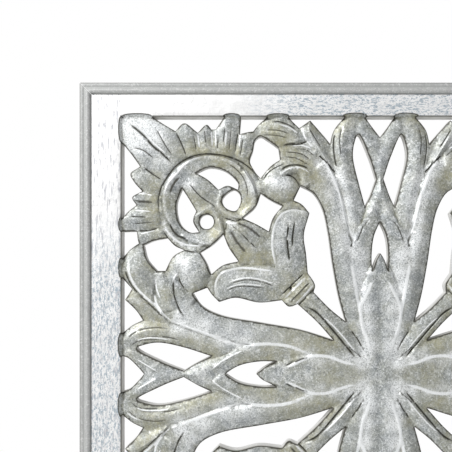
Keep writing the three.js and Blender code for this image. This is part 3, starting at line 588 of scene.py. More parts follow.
def scoop_reach(along, scoops):
    """How far a scoop reaches into the border at each place along it."""
    reach = np.full(np.shape(along), NO_SCOOP)
    for start, end, most in scoops:
        middle, half = (start + end) / 2, (end - start) / 2
        reach = np.maximum(reach, most * np.clip(1 - ((along - middle) / half) ** 2, 0, 1) ** 0.5)
    return reach


def scoop(grid):
    """Raises the border, scooped where leaves grow out of it. Returns how far each cell lies inside it."""
    shores = []
    edges = ((grid.across, grid.down, SCOOPS_TOP), (grid.down, grid.across, SCOOPS_LEFT))
    for along, inward, scoops in edges:
        reach = scoop_reach(along, scoops)
        slope = np.clip((inward + reach) / (reach + NO_SCOOP), 0, 1)
        grid.values = np.where(inward < 0, BORDER_THICKNESS - SCOOP_DEPTH * slope, grid.values)
        shores.append(inward + reach)
    flat = (grid.across < 0) & (grid.down < 0) | (grid.across < -SCOOP_LIMIT) | (grid.down < -SCOOP_LIMIT)
    grid.values = np.where(flat, BORDER_THICKNESS, grid.values)
    return np.minimum(*shores)


def carve():
    """The height grid, how far each cell is inside the border, and the four carving marks."""
    grid = HeightGrid(GROUND_THICKNESS)
    for leaf in LEAVES.values():
        raise_leaf(grid, *leaf)
    raise_ring(grid)
    for dome in DOMES.values():
        raise_dome(grid, *dome)
    grid.values = blurred(grid.values, FORM_BLUR)
    marks = []
    for lines, profile in ((CRESTS, lambda near: near * (2 - near)), (GROOVES, lambda near: -near)):
        mark = np.zeros_like(grid.values)
        for width, height, *runs in lines.values():
            for points in runs:
                window, near = nearness(grid, width, points)
                grid.values[window] += height * profile(near)
                mark[window] = np.maximum(mark[window], near)
        marks.append(mark)
    eye = np.hypot(grid.across - LOWER_EYE["right"], grid.down - LOWER_EYE["down"]) - LOWER_EYE["radius"]
    grid.values -= LOWER_EYE["sinks"] * np.clip(1 - eye / LOWER_EYE["over"], 0, 1) ** 2
    grid.values = np.clip(grid.values, DEEPEST, HIGHEST)
    shore = scoop(grid)
    hollow = np.clip((blurred(grid.values, HOLLOW_BLUR) - grid.values) / HOLLOW_RANGE + 0.5, 0, 1)
    return grid, shore, [hollow, *marks, (shore < 0).astype(float)]


def patches(grid, places):
    """How strongly each cell is in the patches."""
    total = np.zeros_like(grid.values)
    for strength, spots in places.items():
        for right, down, reach in spots:
            gap = (grid.across - right) ** 2 + (grid.down - down) ** 2
            total += strength * np.exp(-gap / reach**2)
    return np.clip(total, 0, 1)


def finish_and_light_marks(grid, outlines, shore):
    """How strongly each cell has the dark outline (partly painted shade), patina, painted highlight, the
    border's wear and dull leaf with painted shade.
    """
    line = np.zeros_like(grid.values)
    for outline in outlines:
        for t in (0, 0.25, 0.5, 0.75):
            columns, rows = cells(outline + (np.roll(outline, -1, axis=0) - outline) * t).T
            fits = (rows < GRID_ROWS) & (columns < GRID_COLUMNS)
            line[rows[fits], columns[fits]] = 1
    edge = np.clip(blurred(line, OUTLINE_BLUR) / OUTLINE_FULL, 0, 1)
    beside = np.clip(blurred(line, BESIDE_BLUR) / BESIDE_FULL, 0, 1)
    edge = np.maximum(edge, SHORE_STRENGTH * np.clip(SHORE_START - np.abs(shore) / SHORE_WIDTH, 0, 1))
    patina = np.clip(patches(grid, PATINA) + BESIDE_PATINA * beside, 0, 1)
    wear = np.maximum(*(
        np.clip((along - start) / length, 0, 1) * (inward < 0)
        for along, inward, (start, length) in (
            (grid.down, grid.across, WEAR_DOWN), (grid.across, grid.down, WEAR_ACROSS),
        )
    ))
    return [edge, patina, patches(grid, PAINTED_HIGHLIGHTS), wear, patches(grid, DULL_AND_SHADED)]


# The mesh's outlines
def clipped(outline):
    """The part of an outline in the top left quarter."""
    for column, limit in ((0, HALF_WIDTH), (1, HALF_HEIGHT)):
        kept = []
        for here, after in zip(outline, np.roll(outline, -1, axis=0)):
            a, b = here[column], after[column]
            if a <= limit:
                kept.append(here)
            if (a < limit) != (b < limit) and a != limit and b != limit:
                kept.append(here + (after - here) * ((limit - a) / (b - a)))
        outline = np.array(kept)
    return outline


def sawn_outlines():
    """The outline of every gap in the top left quarter."""
    angles = np.linspace(0, 2 * np.pi, EYE_SPOTS, endpoint=False)
    eye = np.stack([
        LOWER_EYE["right"] + LOWER_EYE["radius"] * np.cos(angles),
        LOWER_EYE["down"] + LOWER_EYE["radius"] * np.sin(angles),
    ], axis=1)
    return [clipped(outline_of(points, OUTLINE_SPACING)) for points in HOLES.values()] + [eye]


def inside(spots, outline):
    """Which spots lie inside a closed outline."""
    x, y = spots[:, 0][:, None], spots[:, 1][:, None]
    ax, ay = outline[:, 0], outline[:, 1]
    bx, by = np.roll(ax, -1), np.roll(ay, -1)
    crosses = (ay > y) != (by > y)
    span = np.where(by == ay, 1e-9, by - ay)
    return (crosses & (x < (bx - ax) * (y - ay) / span + ax)).sum(1) % 2 == 1


def in_any(spots, outlines):
    """Which spots lie inside any of the outlines."""
    found = np.zeros(len(spots), bool)
    for outline in outlines:
        near = np.all((spots >= outline.min(0)) & (spots <= outline.max(0)), axis=1)
        if near.any():
            found[near] |= inside(spots[near], outline)
    return found


def board_edges():
    """The quarter's outer rectangle, in finer steps along its two seams."""
    left, top = -STILE_WIDTH, -RAIL_WIDTH
    corners = [[left, top], [HALF_WIDTH, top], [HALF_WIDTH, HALF_HEIGHT], [left, HALF_HEIGHT]]
    spacings = [EDGE_SPACING, SEAM_SPACING, SEAM_SPACING, EDGE_SPACING]
    sides = zip(corners, corners[1:] + corners[:1], spacings)
    return np.vstack([smooth_run([start, end], spacing)[:-1] for start, end, spacing in sides])


# The mesh's spots and triangles
def line_spots():
    """Spots along everything that should show as a crisp line: leaf edges, crests, grooves and the ring."""
    runs = []
    for ridge, _, _, *rungs in LEAVES.values():
        rungs = smooth_run(rungs, LINE_SPACING)
        left, right = rungs[:, 0:2], rungs[:, 2:4]
        runs.extend(left + (right - left) * across for across in (0.0, ridge, 1.0))
    for width, _, *lines in [*CRESTS.values(), *GROOVES.values()]:
        for points in lines:
            middle = smooth_run(points, LINE_SPACING)
            along = np.gradient(middle, axis=0)
            along /= np.linalg.norm(along, axis=1)[:, None]
            side = np.stack([-along[:, 1], along[:, 0]], axis=1) * width / 2
            runs.extend([middle, middle + side, middle - side])
    runs.extend([ellipse(SCROLL_CREST, RING_SPOTS), ellipse(SCROLL_INNER, RING_SPOTS)])
    along = np.arange(-STILE_WIDTH, HALF_WIDTH, LINE_SPACING)
    for scoops, turned in ((SCOOPS_TOP, False), (SCOOPS_LEFT, True)):
        shore = -scoop_reach(along, scoops) * (along > 0)
        for offset in (-EDGE_STEP, 0, EDGE_STEP):
            run = np.stack([along, shore + offset], axis=1)[along > -EDGE_STEP]
            runs.append(run[:, ::-1] if turned else run)
    return np.vstack(runs)


def face_spots():
    """An even field of spots, close together in the carving and far apart on the border."""
    fields = []
    for spacing, left, top in ((FACE_SPACING, 0, 0), (BORDER_SPACING, -STILE_WIDTH, -RAIL_WIDTH)):
        for i, row in enumerate(np.arange(top, HALF_HEIGHT, spacing * ROW_SPACING)):
            across = np.arange(left + (i % 2) * spacing / 2, HALF_WIDTH, spacing)
            spots = np.stack([across, np.full_like(across, row)], axis=1)
            if spacing == BORDER_SPACING:
                spots = spots[np.any(spots < -BORDER_MARGIN, axis=1)]
            fields.append(spots)
    return np.vstack(fields)


def thinned(groups):
    """The spots, without those too near to one kept before. The groups are [spots, least gap]."""
    kept = {}
    result = []
    for spots, least in groups:
        for x, y in spots.tolist():
            i, j = int(x // BUCKET), int(y // BUCKET)
            around = ((i + a, j + b) for a in (-1, 0, 1) for b in (-1, 0, 1))
            gaps = ((ox - x) ** 2 + (oy - y) ** 2 for key in around for ox, oy in kept.get(key, ()))
            if not any(gap < least * least for gap in gaps):
                kept.setdefault((i, j), []).append((x, y))
                result.append((x, y))
    return np.array(result)


def triangulated(spots, edges, outlines):
    """The spots and the triangles over them, keeping the edges and leaving the outlines open."""
    made = delaunay_2d_cdt([Vector(spot) for spot in spots.tolist()], edges, [], 0, 1e-5)
    places, triangles = np.array([tuple(v) for v in made[0]]), np.array([tuple(f) for f in made[2]])
    return places, triangles[~in_any(places[triangles].mean(1), outlines)]


def quarter_mesh(outlines, grid):
    """The top left quarter's front, walls and back, as corners [right, down, height, front's height]."""
    loops = [board_edges(), *outlines]
    limits = np.array([HALF_WIDTH, HALF_HEIGHT])
    fields = []
    for spots, least in ((line_spots(), LEAST_LINE_GAP), (face_spots(), LEAST_FACE_GAP)):
        spots = spots[np.all(spots < limits - SEAM_GAP, axis=1)]
        fields.append((spots[~in_any(spots, outlines)], least))
    spots = thinned([(np.vstack(loops), 0.0), *fields])
    edges, start = [], 0
    for loop in loops:
        edges += [(start + i, start + (i + 1) % len(loop)) for i in range(len(loop))]
        start += len(loop)
    places, triangles = triangulated(spots, edges, outlines)
    sides = {}
    for a, b, c in triangles.tolist():
        for edge in ((a, b), (b, c), (c, a)):
            sides.setdefault(tuple(sorted(edge)), []).append(edge)
    lone = np.array([uses[0] for uses in sides.values() if len(uses) == 1])
    on_seam = np.any(np.all(np.abs(places[lone] - limits) < 1e-3, axis=1), axis=1)
    rim, seam = lone[~on_seam], lone[on_seam]
    on_rim = np.zeros(len(places), bool)
    on_rim[rim.ravel()] = True
    inward = np.zeros_like(places)
    middles = places[triangles].mean(1)
    for corner in range(3):
        np.add.at(inward, triangles[:, corner], middles - places[triangles[:, corner]])
    inward /= np.maximum(np.linalg.norm(inward, axis=1), 1e-9)[:, None]
    heights = sample(grid.values, np.where(on_rim[:, None], places + ARRIS_WIDTH * inward, places))
    heights -= np.where(on_rim, ARRIS, 0)
    front = np.column_stack([places, heights, heights])
    foot = np.column_stack([places, np.zeros(len(places)), heights])
    used, renumbered = np.unique(np.vstack([rim, seam]), return_inverse=True)
    _, back_triangles = triangulated(places[used], renumbered.reshape(-1, 2).tolist(), outlines)
    back = foot[used][back_triangles[:, ::-1]]
    a, b = rim[:, 0], rim[:, 1]
    walls = np.stack([front[b], front[a], foot[a]], axis=1), np.stack([front[b], foot[a], foot[b]], axis=1)
    return np.concatenate([front[triangles], *walls, back])


def board(grid, outlines, layers):
    """The whole board, one welded mesh of four mirrored quarters, with the layers and a height as marks."""
    spots = quarter_mesh(outlines, grid).reshape(-1, 4)
    layers = [sample(layer, spots[:, :2]) for layer in layers]
    marks = np.stack([*layers, spots[:, 3] / BORDER_THICKNESS], axis=1).reshape(-1, 3, len(layers) + 1)
    placed, all_marks = [], []
    for across_sign, up_sign in QUARTERS:
        across, up = across_sign * (HALF_WIDTH - spots[:, 0]), up_sign * (HALF_HEIGHT - spots[:, 1])
        world = np.stack([across, -spots[:, 2], up + CENTRE_Z], axis=1).reshape(-1, 3, 3)
        turn = -1 if across_sign * up_sign < 0 else 1
        placed.append(world[:, ::turn].reshape(-1, 3))
        all_marks.append(marks[:, ::turn].reshape(-1, marks.shape[2]))
    placed, all_marks = np.vstack(placed), np.vstack(all_marks)
    _, first, number = np.unique(np.round(placed, 3), axis=0, return_index=True, return_inverse=True)
    triangles = number.reshape(-1, 3)
    whole = np.all(triangles != np.roll(triangles, -1, axis=1), axis=1)
    return placed[first], triangles[whole], all_marks[first]


def placed_object(name, data):
    """A new object in the scene."""
    made = bpy.data.objects.new(name, data)
    bpy.context.scene.collection.objects.link(made)
    return made


def mesh_object(name, points, faces, material, marks, sharp_degrees):
    """A smooth-shaded mesh, its creases sharp, with up to four marks to a colour attribute."""
    mesh = bpy.data.meshes.new(name)
    mesh.from_pydata((points * MILLIMETRE).tolist(), [], faces)
    mesh.polygons.foreach_set("use_smooth", np.ones(len(mesh.polygons), bool))
    mesh.set_sharp_from_angle(angle=math.radians(sharp_degrees))
    for attribute, columns in marks.items():
        colours = mesh.attributes.new(attribute, "FLOAT_COLOR", "POINT")
        full = np.zeros((len(points), 4), np.float32)
        full[:, :columns.shape[1]] = columns
        colours.data.foreach_set("color", full.ravel())
    mesh.materials.append(material)
    return placed_object(name, mesh)


# The rim's section, outer edge first: [distance from the outer edge, height]
RIM_PROFILE = [
    [0, 0], [0, 17.4], [0, 18], [0.4, 18.5], [1.1, 18.8], [2, 18.9], [3, 18.8], [3.8, 18.5], [4.4, 18.3],
    [5, 18.5], [5.9, 19.3], [6.9, 19.8], [7.6, RIM_THICKNESS], [8.5, 19.9], [9.4, 19.5], [10.1, 18.9],
    [RIM_WIDTH - FITTING_GAP, 18], [RIM_WIDTH - FITTING_GAP, 17.4], [RIM_WIDTH - FITTING_GAP, 0],
]
RIM_SEGMENTS = 90
RIM_STEP = 0.4
RIM_LIGHT_HEIGHT = 18.8
RIM_DARK_HEIGHT = 18.2
RIM_OUTLINE = 1.3
RIM_OUTLINE_FOOT = 17.5


def rim_strip(side, material):
    """One mitred strip of the rim."""
    upright = side in ("left", "right")
    sign = -1 if side in ("left", "bottom") else 1
    outer_width, outer_height = HALF_WIDTH + STILE_WIDTH + RIM_WIDTH, HALF_HEIGHT + RAIL_WIDTH + RIM_WIDTH
    long_half, span_half = (outer_height, outer_width) if upright else (outer_width, outer_height)
    profile = np.array(RIM_PROFILE, float)
    profile = np.vstack([profile[:2], smooth_run(profile[2:-2], RIM_STEP), profile[-2:]])
    inset, height = profile[:, 0], np.minimum(profile[:, 1], RIM_THICKNESS)
    # Painted shade: the profile's lower parts take the groove's darker colour
    light = np.clip((height - RIM_DARK_HEIGHT) / (RIM_LIGHT_HEIGHT - RIM_DARK_HEIGHT), 0, 1)
    points = []
    for t in np.linspace(-1, 1, RIM_SEGMENTS + 1):
        along = t * (long_half - FITTING_GAP - inset)
        out = sign * (span_half - inset)
        x, z = (out, along) if upright else (along, out)
        points.append(np.column_stack([x, -height, z + CENTRE_Z]))
    count = len(inset)
    faces = []
    for i in range(RIM_SEGMENTS):
        for j in range(count):
            a, b = i * count + j, i * count + (j + 1) % count
            faces.append((a, b, b + count, a + count))
    faces.append(tuple(reversed(range(count))))
    faces.append(tuple(range(RIM_SEGMENTS * count, (RIM_SEGMENTS + 1) * count)))
    if upright == (sign > 0):
        faces = [face[::-1] for face in faces]
    # Painted shade: a dark line along the outer top edge
    outline = np.clip(1 - inset / RIM_OUTLINE, 0, 1)
    outline[height < RIM_OUTLINE_FOOT] = 0
    marks = np.tile(np.column_stack([light, outline]), (RIM_SEGMENTS + 1, 1))
    name = "rim_" + side + "_moulding"
    return mesh_object(name, np.vstack(points), faces, material, {"carving": marks}, RIM_CREASE)


# Materials, with the sockets of a colour mix node named first
MIX_AMOUNT = 0
MIX_FIRST = 6
MIX_SECOND = 7
MIX_RESULT = 2


class Shader:
    """A small helper that builds a node material from left to right."""

    def __init__(self, name, roughness, metallic):
        self.material = bpy.data.materials.new(name)
        self.material.use_nodes = True
        self.tree = self.material.node_tree
        self.surface = self.tree.nodes["Principled BSDF"]
        self.surface.inputs["Metallic"].default_value = metallic
        self.surface.inputs["Roughness"].default_value = roughness
        self.place = self.tree.nodes.new("ShaderNodeTexCoord").outputs["Object"]

    def link(self, source, target):
        """Gives one of the surface's inputs a worked-out value."""
        self.tree.links.new(source, self.surface.inputs[target])

    def node(self, kind, inputs, **settings):
        """A node with its inputs linked, or set to a number, a place or a colour."""
        made = self.tree.nodes.new("ShaderNode" + kind)
        for name, setting in settings.items():
            setattr(made, name, setting)
        for key, value in inputs.items():
            if isinstance(value, bpy.types.NodeSocket):
                self.tree.links.new(value, made.inputs[key])
            elif isinstance(value, tuple) and made.inputs[key].type == "RGBA":
                made.inputs[key].default_value = (*value, 1)
            else:
                made.inputs[key].default_value = value
        return made

    def stretched(self, across, deep, up):
        """The place, with its three directions scaled."""
        return self.node("Mapping", {"Vector": self.place, "Scale": (across, deep, up)}).outputs["Vector"]

    def noise(self, scale, detail, roughness, distortion=0.0, place=None):
        return self.node("TexNoise", {
            "Vector": place or self.place, "Scale": scale, "Detail": detail, "Roughness": roughness,
            "Distortion": distortion,
        }).outputs["Fac"]

    def ramp(self, value, low, high):
        """A value spread between two stops of (place, grey)."""
        made = self.node("ValToRGB", {"Fac": value})
        for point, (place, grey) in zip(made.color_ramp.elements, (low, high)):
            point.position = place
            point.color = (grey, grey, grey, 1)
        return made.outputs["Color"]

    def sums(self, kind, first, second=0, clamp=False):
        """One step of arithmetic."""
        return self.node("Math", {0: first, 1: second}, operation=kind, use_clamp=clamp).outputs["Value"]

    def times(self, first, second):
        return self.sums("MULTIPLY", first, second, clamp=True)

    def mix(self, amount, first, second):
        inputs = {MIX_AMOUNT: amount, MIX_FIRST: first, MIX_SECOND: second}
        return self.node("Mix", inputs, data_type="RGBA").outputs[MIX_RESULT]

    def spread(self, value, low, high):
        """The value from low to high as 0 to 1."""
        return self.node("MapRange", {"Value": value, "From Min": low, "From Max": high}).outputs["Result"]

    def bump(self, height, distance, strength, under=None):
        inputs = {"Height": height, "Distance": distance, "Strength": strength}
        if under is not None:
            inputs["Normal"] = under
        return self.node("Bump", inputs).outputs["Normal"]

    def marks(self, attribute):
        """The four marks of a colour attribute."""
        made = self.node("Attribute", {}, attribute_name=attribute)
        parts = self.node("SeparateColor", {"Color": made.outputs["Color"]})
        return [*(parts.outputs[i] for i in range(3)), made.outputs["Alpha"]]


# Colours, as linear light
SILVER = (0.52, 0.55, 0.565)
SILVER_BRIGHT = (0.94, 0.96, 0.97)
SILVER_DULL = (0.31, 0.335, 0.34)
SILVER_DARK = (0.13, 0.145, 0.155)
PATINA_BROWN = (0.42, 0.41, 0.29)
PATINA_MIDDLE = (0.31, 0.30, 0.20)
# Near-black painted shade for cut grooves, deep hollows and dark outlines
CREVICE_SHADE = (0.045, 0.042, 0.030)
WASH_WHITE = (0.92, 0.92, 0.92)
WASH_GREY = (0.42, 0.43, 0.47)
WORN_SILVER = (0.40, 0.47, 0.53)
SAWN_PALE = (0.95, 0.95, 0.93)
SAWN_SHADE = (0.62, 0.61, 0.57)
BACK_WOOD = (0.42, 0.33, 0.22)
BACK_GRAIN = (0.27, 0.20, 0.13)
RIM_PALE = (0.43, 0.435, 0.43)
RIM_LIGHT = (0.50, 0.51, 0.50)
RIM_GROOVE_SHADE = (0.43, 0.44, 0.43)

# Noise scales, larger for finer spots
CLOUD = 60
BROAD = 85
BACK_STREAK = 90
ROUGH_SPOT = 90
BLOTCH = 130
TOOL_MARK = 170
MOTTLE = 240
TARNISH = 330
WORN = 520
FLECK = 560
GRAIN = 760
RIM_CLOUD = 160
RIM_DENT = 300
RIM_SPECK = 680

# How far below the front the dark outline ends, and how far the sawn wood's painted shade reaches, in metres
OUTLINE_DEPTH = 0.0010
SHADE_DEPTH = 0.0070
BACK_SKIN = 0.0003

# A lap in the rails' leaf, measured from the panel's middle, in metres
LAP_PLACE = 0.207
LAP_REACH = 0.0009
STILE_START = HALF_WIDTH * MILLIMETRE


def silver_leaf(s, grain, specks, flecks):
    """Metal leaf: mottled silver, brownish patina where it is low, painted shade dark in the cuts and
    deepest hollows, and white on the crests, partly burnished wear and partly painted highlight.
    """
    hollow, crest, groove, _ = s.marks("carving")
    _, patina, highlit, _ = s.marks("finish_and_light")
    dull_and_shaded = s.marks("level")[0]
    cloud = s.ramp(s.noise(CLOUD, 4, 0.6, 0.5), (0.38, 0), (0.62, 1))
    mottle = s.ramp(s.noise(MOTTLE, 5, 0.7, 0.4), (0.38, 0), (0.62, 1))
    broad = s.noise(BROAD, 4, 0.65, 0.7)
    leaf = s.mix(mottle, SILVER_DULL, SILVER)
    leaf = s.mix(s.ramp(broad, (0.53, 0), (0.68, 0.75)), leaf, SILVER_BRIGHT)
    leaf = s.mix(s.ramp(broad, (0.34, 0.6), (0.46, 0)), leaf, SILVER_DARK)
    leaf = s.mix(s.times(cloud, 0.30), leaf, PATINA_BROWN)
    low = s.ramp(hollow, (0.50, 0), (0.66, 1))
    brown = s.sums("MAXIMUM", patina, s.times(low, 0.6), clamp=True)
    brown = s.times(brown, s.ramp(s.noise(BLOTCH, 4, 0.7), (0.30, 0.35), (0.60, 1)))
    leaf = s.mix(brown, leaf, s.mix(mottle, PATINA_MIDDLE, PATINA_BROWN))
    leaf = s.mix(s.times(specks, s.ramp(brown, (0, 0.75), (1, 0.35))), leaf, SILVER_DARK)
    leaf = s.mix(s.times(flecks, s.ramp(brown, (0, 0.75), (1, 0.2))), leaf, SILVER_BRIGHT)
    # Tarnish mottle and painted shade: the dull patches darkened towards dark silver
    tarnish_and_shade = s.times(dull_and_shaded, s.ramp(s.noise(TARNISH, 4, 0.75), (0.36, 0.15), (0.60, 1)))
    leaf = s.mix(s.times(tarnish_and_shade, 0.8), leaf, SILVER_DARK)
    # Painted highlight: parts standing above their surroundings lightened towards white
    leaf = s.mix(s.times(s.ramp(hollow, (0.20, 1), (0.44, 0)), 0.35), leaf, SILVER_BRIGHT)
    # Painted highlight: the highlight patches mixed towards white silver
    highlight = s.times(highlit, s.ramp(grain, (0.44, 1), (0.60, 0.25)))
    leaf = s.mix(s.times(highlight, 0.9), leaf, SILVER_BRIGHT)
    # Crests turn white where the leaf is clean or highlit: partly burnished wear, partly painted highlight
    clean_and_highlit = s.sums("MAXIMUM", s.ramp(brown, (0.6, 1), (1, 0.5)), highlit, clamp=True)
    worn_and_highlit_crest = s.times(s.ramp(crest, (0.15, 0), (0.55, 1)), clean_and_highlit)
    leaf = s.mix(s.times(worn_and_highlit_crest, s.ramp(grain, (0.45, 1), (0.62, 0.75))), leaf, SILVER_BRIGHT)
    # Painted shade: deep hollows and cut grooves darkened to near black
    leaf = s.mix(s.times(s.ramp(hollow, (0.60, 0), (0.86, 1)), 0.8), leaf, CREVICE_SHADE)
    return s.mix(s.times(s.ramp(groove, (0.15, 0), (0.65, 1)), 0.88), leaf, CREVICE_SHADE)


def whitewash(s, beside, grain, specks, flecks):
    """The border: white with grey streaks along its grain, worn silver, and a lap across the rails."""
    wear = s.marks("finish_and_light")[3]
    on_stile = s.spread(beside, STILE_START - MILLIMETRE, STILE_START)
    upright = s.ramp(s.noise(CLOUD, 4, 0.6, place=s.stretched(8.0, 1.0, 1.1)), (0.53, 0), (0.62, 1))
    along = s.ramp(s.noise(CLOUD, 4, 0.6, place=s.stretched(1.1, 1.0, 8.0)), (0.58, 0), (0.70, 0.3))
    washed = s.mix(s.times(s.mix(on_stile, along, upright), 0.8), WASH_WHITE, WASH_GREY)
    worn_rails = s.noise(WORN, 3, 0.8, 0.4, s.stretched(0.4, 1.0, 1.0))
    worn_stiles = s.noise(WORN, 3, 0.8, 0.4, s.stretched(1.0, 1.0, 0.4))
    worn = s.times(wear, s.ramp(s.mix(on_stile, worn_rails, worn_stiles), (0.50, 0), (0.56, 1)))
    washed = s.mix(worn, washed, s.mix(s.times(flecks, 0.8), WORN_SILVER, SILVER_BRIGHT))
    washed = s.mix(s.times(specks, s.ramp(wear, (0, 0.05), (1, 0.35))), washed, SILVER_DULL)
    off_lap = s.sums("ABSOLUTE", s.sums("SUBTRACT", beside, LAP_PLACE))
    lap = s.times(s.spread(off_lap, LAP_REACH, 0), s.ramp(grain, (0.42, 0.1), (0.58, 0.5)))
    return s.mix(s.sums("SUBTRACT", lap, on_stile, clamp=True), washed, WASH_GREY)


def sawn_wood(s, depth, sunk):
    """The walls of the gaps, with painted shade darkest under the front's edge, and the brown back."""
    wall = s.mix(s.spread(sunk, OUTLINE_DEPTH, SHADE_DEPTH), SAWN_SHADE, SAWN_PALE)
    grain = s.ramp(s.noise(BACK_STREAK, 5, 0.65, place=s.stretched(1.0, 1.0, 9.0)), (0.35, 0), (0.65, 1))
    return s.mix(s.spread(depth, -BACK_SKIN, 0), wall, s.mix(grain, BACK_GRAIN, BACK_WOOD))


def silvered_wood():
    """The carved board: silver leaf on the carving, whitewash on the border, sawn wood below their edges."""
    s = Shader("silver_leaf_on_wood", 0.45, 0.25)
    border = s.marks("carving")[3]
    edge = s.marks("finish_and_light")[0]
    level = s.marks("level")[1]
    grain = s.noise(GRAIN, 3, 0.75)
    specks = s.ramp(grain, (0.50, 0), (0.62, 1))
    flecks = s.ramp(s.noise(FLECK, 3, 0.75, 0.4), (0.52, 0), (0.64, 1))
    parts = s.node("SeparateXYZ", {"Vector": s.place}).outputs
    washed = whitewash(s, s.sums("ABSOLUTE", parts["X"]), grain, specks, flecks)
    face = s.mix(s.ramp(border, (0.35, 0), (0.65, 1)), silver_leaf(s, grain, specks, flecks), washed)
    # Dark outline along sawn edges and the border's step: partly dark patina, partly painted shade
    face = s.mix(s.times(s.ramp(edge, (0.25, 0), (0.65, 1)), 0.93), face, CREVICE_SHADE)
    sunk = s.sums("ADD", parts["Y"], s.sums("MULTIPLY", level, BORDER_THICKNESS * MILLIMETRE))
    wall = sawn_wood(s, parts["Y"], sunk)
    s.link(s.mix(s.spread(sunk, OUTLINE_DEPTH, OUTLINE_DEPTH * 2), face, wall), "Base Color")
    s.link(s.ramp(s.noise(ROUGH_SPOT, 4, 0.6), (0.3, 0.36), (0.7, 0.60)), "Roughness")
    tool_marks = s.bump(s.noise(TOOL_MARK, 3, 0.6, 0.5), 0.0006, 0.7)
    s.link(s.bump(grain, 0.0002, 0.6, tool_marks), "Normal")
    return s.material


def rim_wood():
    """The rim: grey-white leaf on its beads, with painted shade a little darker in its groove and dark along
    its outer edge.
    """
    s = Shader("washed_rim_wood", 0.55, 0.1)
    light, outline = s.marks("carving")[:2]
    paint = s.mix(s.ramp(s.noise(RIM_CLOUD, 5, 0.65), (0.36, 0), (0.64, 1)), RIM_PALE, RIM_LIGHT)
    for scale, spots in ((FLECK, WASH_WHITE), (RIM_SPECK, SILVER_DULL)):
        paint = s.mix(s.times(s.ramp(s.noise(scale, 4, 0.7), (0.52, 0), (0.66, 1)), 0.5), paint, spots)
    paint = s.mix(s.ramp(light, (0.1, 0), (0.8, 1)), RIM_GROOVE_SHADE, paint)
    s.link(s.mix(s.times(s.ramp(outline, (0.1, 0), (0.8, 1)), 0.8), paint, CREVICE_SHADE), "Base Color")
    s.link(s.bump(s.noise(RIM_DENT, 3, 0.6), 0.0002, 0.5), "Normal")
    return s.material


# The panel's pieces
grid, shore, carving_layers = carve()
outlines = sawn_outlines()
points, triangles, marks = board(grid, outlines, [*carving_layers, *finish_and_light_marks(grid, outlines, shore)])
attributes = {"carving": marks[:, :4], "finish_and_light": marks[:, 4:8], "level": marks[:, 8:]}
board_finish = silvered_wood()
carving = mesh_object("carved_board", points, triangles.tolist(), board_finish, attributes, CARVING_CREASE)
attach(carving, "root")
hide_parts("carved_panel")
rim_finish = rim_wood()
for side in ("top", "bottom", "left", "right"):
    strip = rim_strip(side, rim_finish)
    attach(strip, "root")
    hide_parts("rim_" + side)

# The camera: the photograph is one millimetre to the pixel, and shows the panel's top left quarter
PHOTO_SIZE = 452
PHOTO_OPENING_LEFT = 121
PHOTO_OPENING_TOP = 116
CAMERA_DISTANCE = 680
CAMERA_SHIFT = 0.09
SENSOR = 36.0

camera_data = bpy.data.cameras.new("camera")
camera = placed_object("camera", camera_data)
bpy.context.scene.camera = camera
camera_data.sensor_width = SENSOR
camera_data.lens = SENSOR * (CAMERA_DISTANCE - BORDER_THICKNESS) / PHOTO_SIZE
camera_data.shift_x = -CAMERA_SHIFT
camera_data.shift_y = CAMERA_SHIFT
aim_right = PHOTO_SIZE / 2 - PHOTO_OPENING_LEFT + CAMERA_SHIFT * PHOTO_SIZE
aim_down = PHOTO_SIZE / 2 - PHOTO_OPENING_TOP + CAMERA_SHIFT * PHOTO_SIZE
camera_place = (aim_right - HALF_WIDTH, -CAMERA_DISTANCE, HALF_HEIGHT - aim_down + CENTRE_Z)
camera.location = Vector(camera_place) * MILLIMETRE
camera.rotation_euler = (math.radians(90), 0, 0)


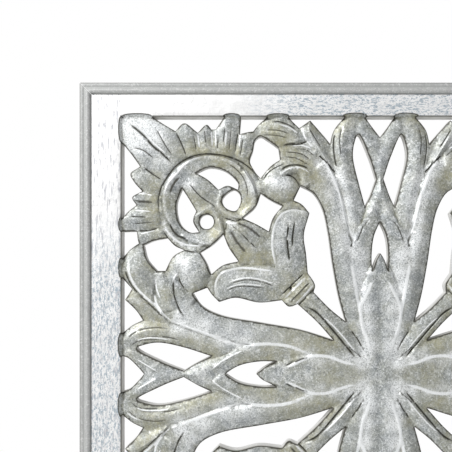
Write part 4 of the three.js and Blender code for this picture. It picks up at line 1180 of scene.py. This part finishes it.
# Light and floor
def area_light(name, place, size, power):
    """A soft square light aimed at the panel's middle."""
    data = bpy.data.lights.new(name, "AREA")
    data.size = size
    data.energy = power
    light = placed_object(name, data)
    light.location = place
    light.rotation_mode = "QUATERNION"
    towards = Vector((0, 0, CENTRE_Z * MILLIMETRE)) - Vector(place)
    light.rotation_quaternion = towards.to_track_quat("-Z", "Y")


area_light("key", place=(-1.25, -1.35, 1.0), size=0.5, power=38)
area_light("fill", place=(1.1, -1.2, -1.2), size=1.4, power=14)

# The world lights the panel softly, and the camera sees it as plain white
WORLD_LIGHT = 0.32
world = bpy.data.worlds.new("studio")
bpy.context.scene.world = world
world.use_nodes = True
tree = world.node_tree
soft = tree.nodes["Background"]
seen = tree.nodes.new("ShaderNodeBackground")
for background, strength in ((soft, WORLD_LIGHT), (seen, 1.0)):
    background.inputs["Color"].default_value = (1, 1, 1, 1)
    background.inputs["Strength"].default_value = strength
path = tree.nodes.new("ShaderNodeLightPath")
blend = tree.nodes.new("ShaderNodeMixShader")
tree.links.new(path.outputs["Is Camera Ray"], blend.inputs["Fac"])
tree.links.new(soft.outputs["Background"], blend.inputs[1])
tree.links.new(seen.outputs["Background"], blend.inputs[2])
tree.links.new(blend.outputs["Shader"], tree.nodes["World Output"].inputs["Surface"])

# A plain pale floor below the panel and in front of it, in metres
FLOOR_DROP = 0.02
FLOOR_REACH = 1.6
FLOOR_BEHIND = 0.35
low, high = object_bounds()
floor_mesh = bpy.data.meshes.new("floor")
floor_corners = [
    (-FLOOR_REACH, -FLOOR_REACH, 0), (FLOOR_REACH, -FLOOR_REACH, 0),
    (FLOOR_REACH, FLOOR_BEHIND, 0), (-FLOOR_REACH, FLOOR_BEHIND, 0),
]
floor_mesh.from_pydata(floor_corners, [], [(0, 1, 2, 3)])
floor = placed_object("floor", floor_mesh)
floor.location = (0, 0, low.z - FLOOR_DROP)
floor_paint = bpy.data.materials.new("floor_paint")
floor_paint.use_nodes = True
floor_shader = floor_paint.node_tree.nodes["Principled BSDF"]
floor_shader.inputs["Base Color"].default_value = (0.86, 0.86, 0.85, 1)
floor_shader.inputs["Roughness"].default_value = 0.8
floor_mesh.materials.append(floor_paint)
floor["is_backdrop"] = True

bpy.context.scene.view_settings.view_transform = "Standard"

low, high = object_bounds()
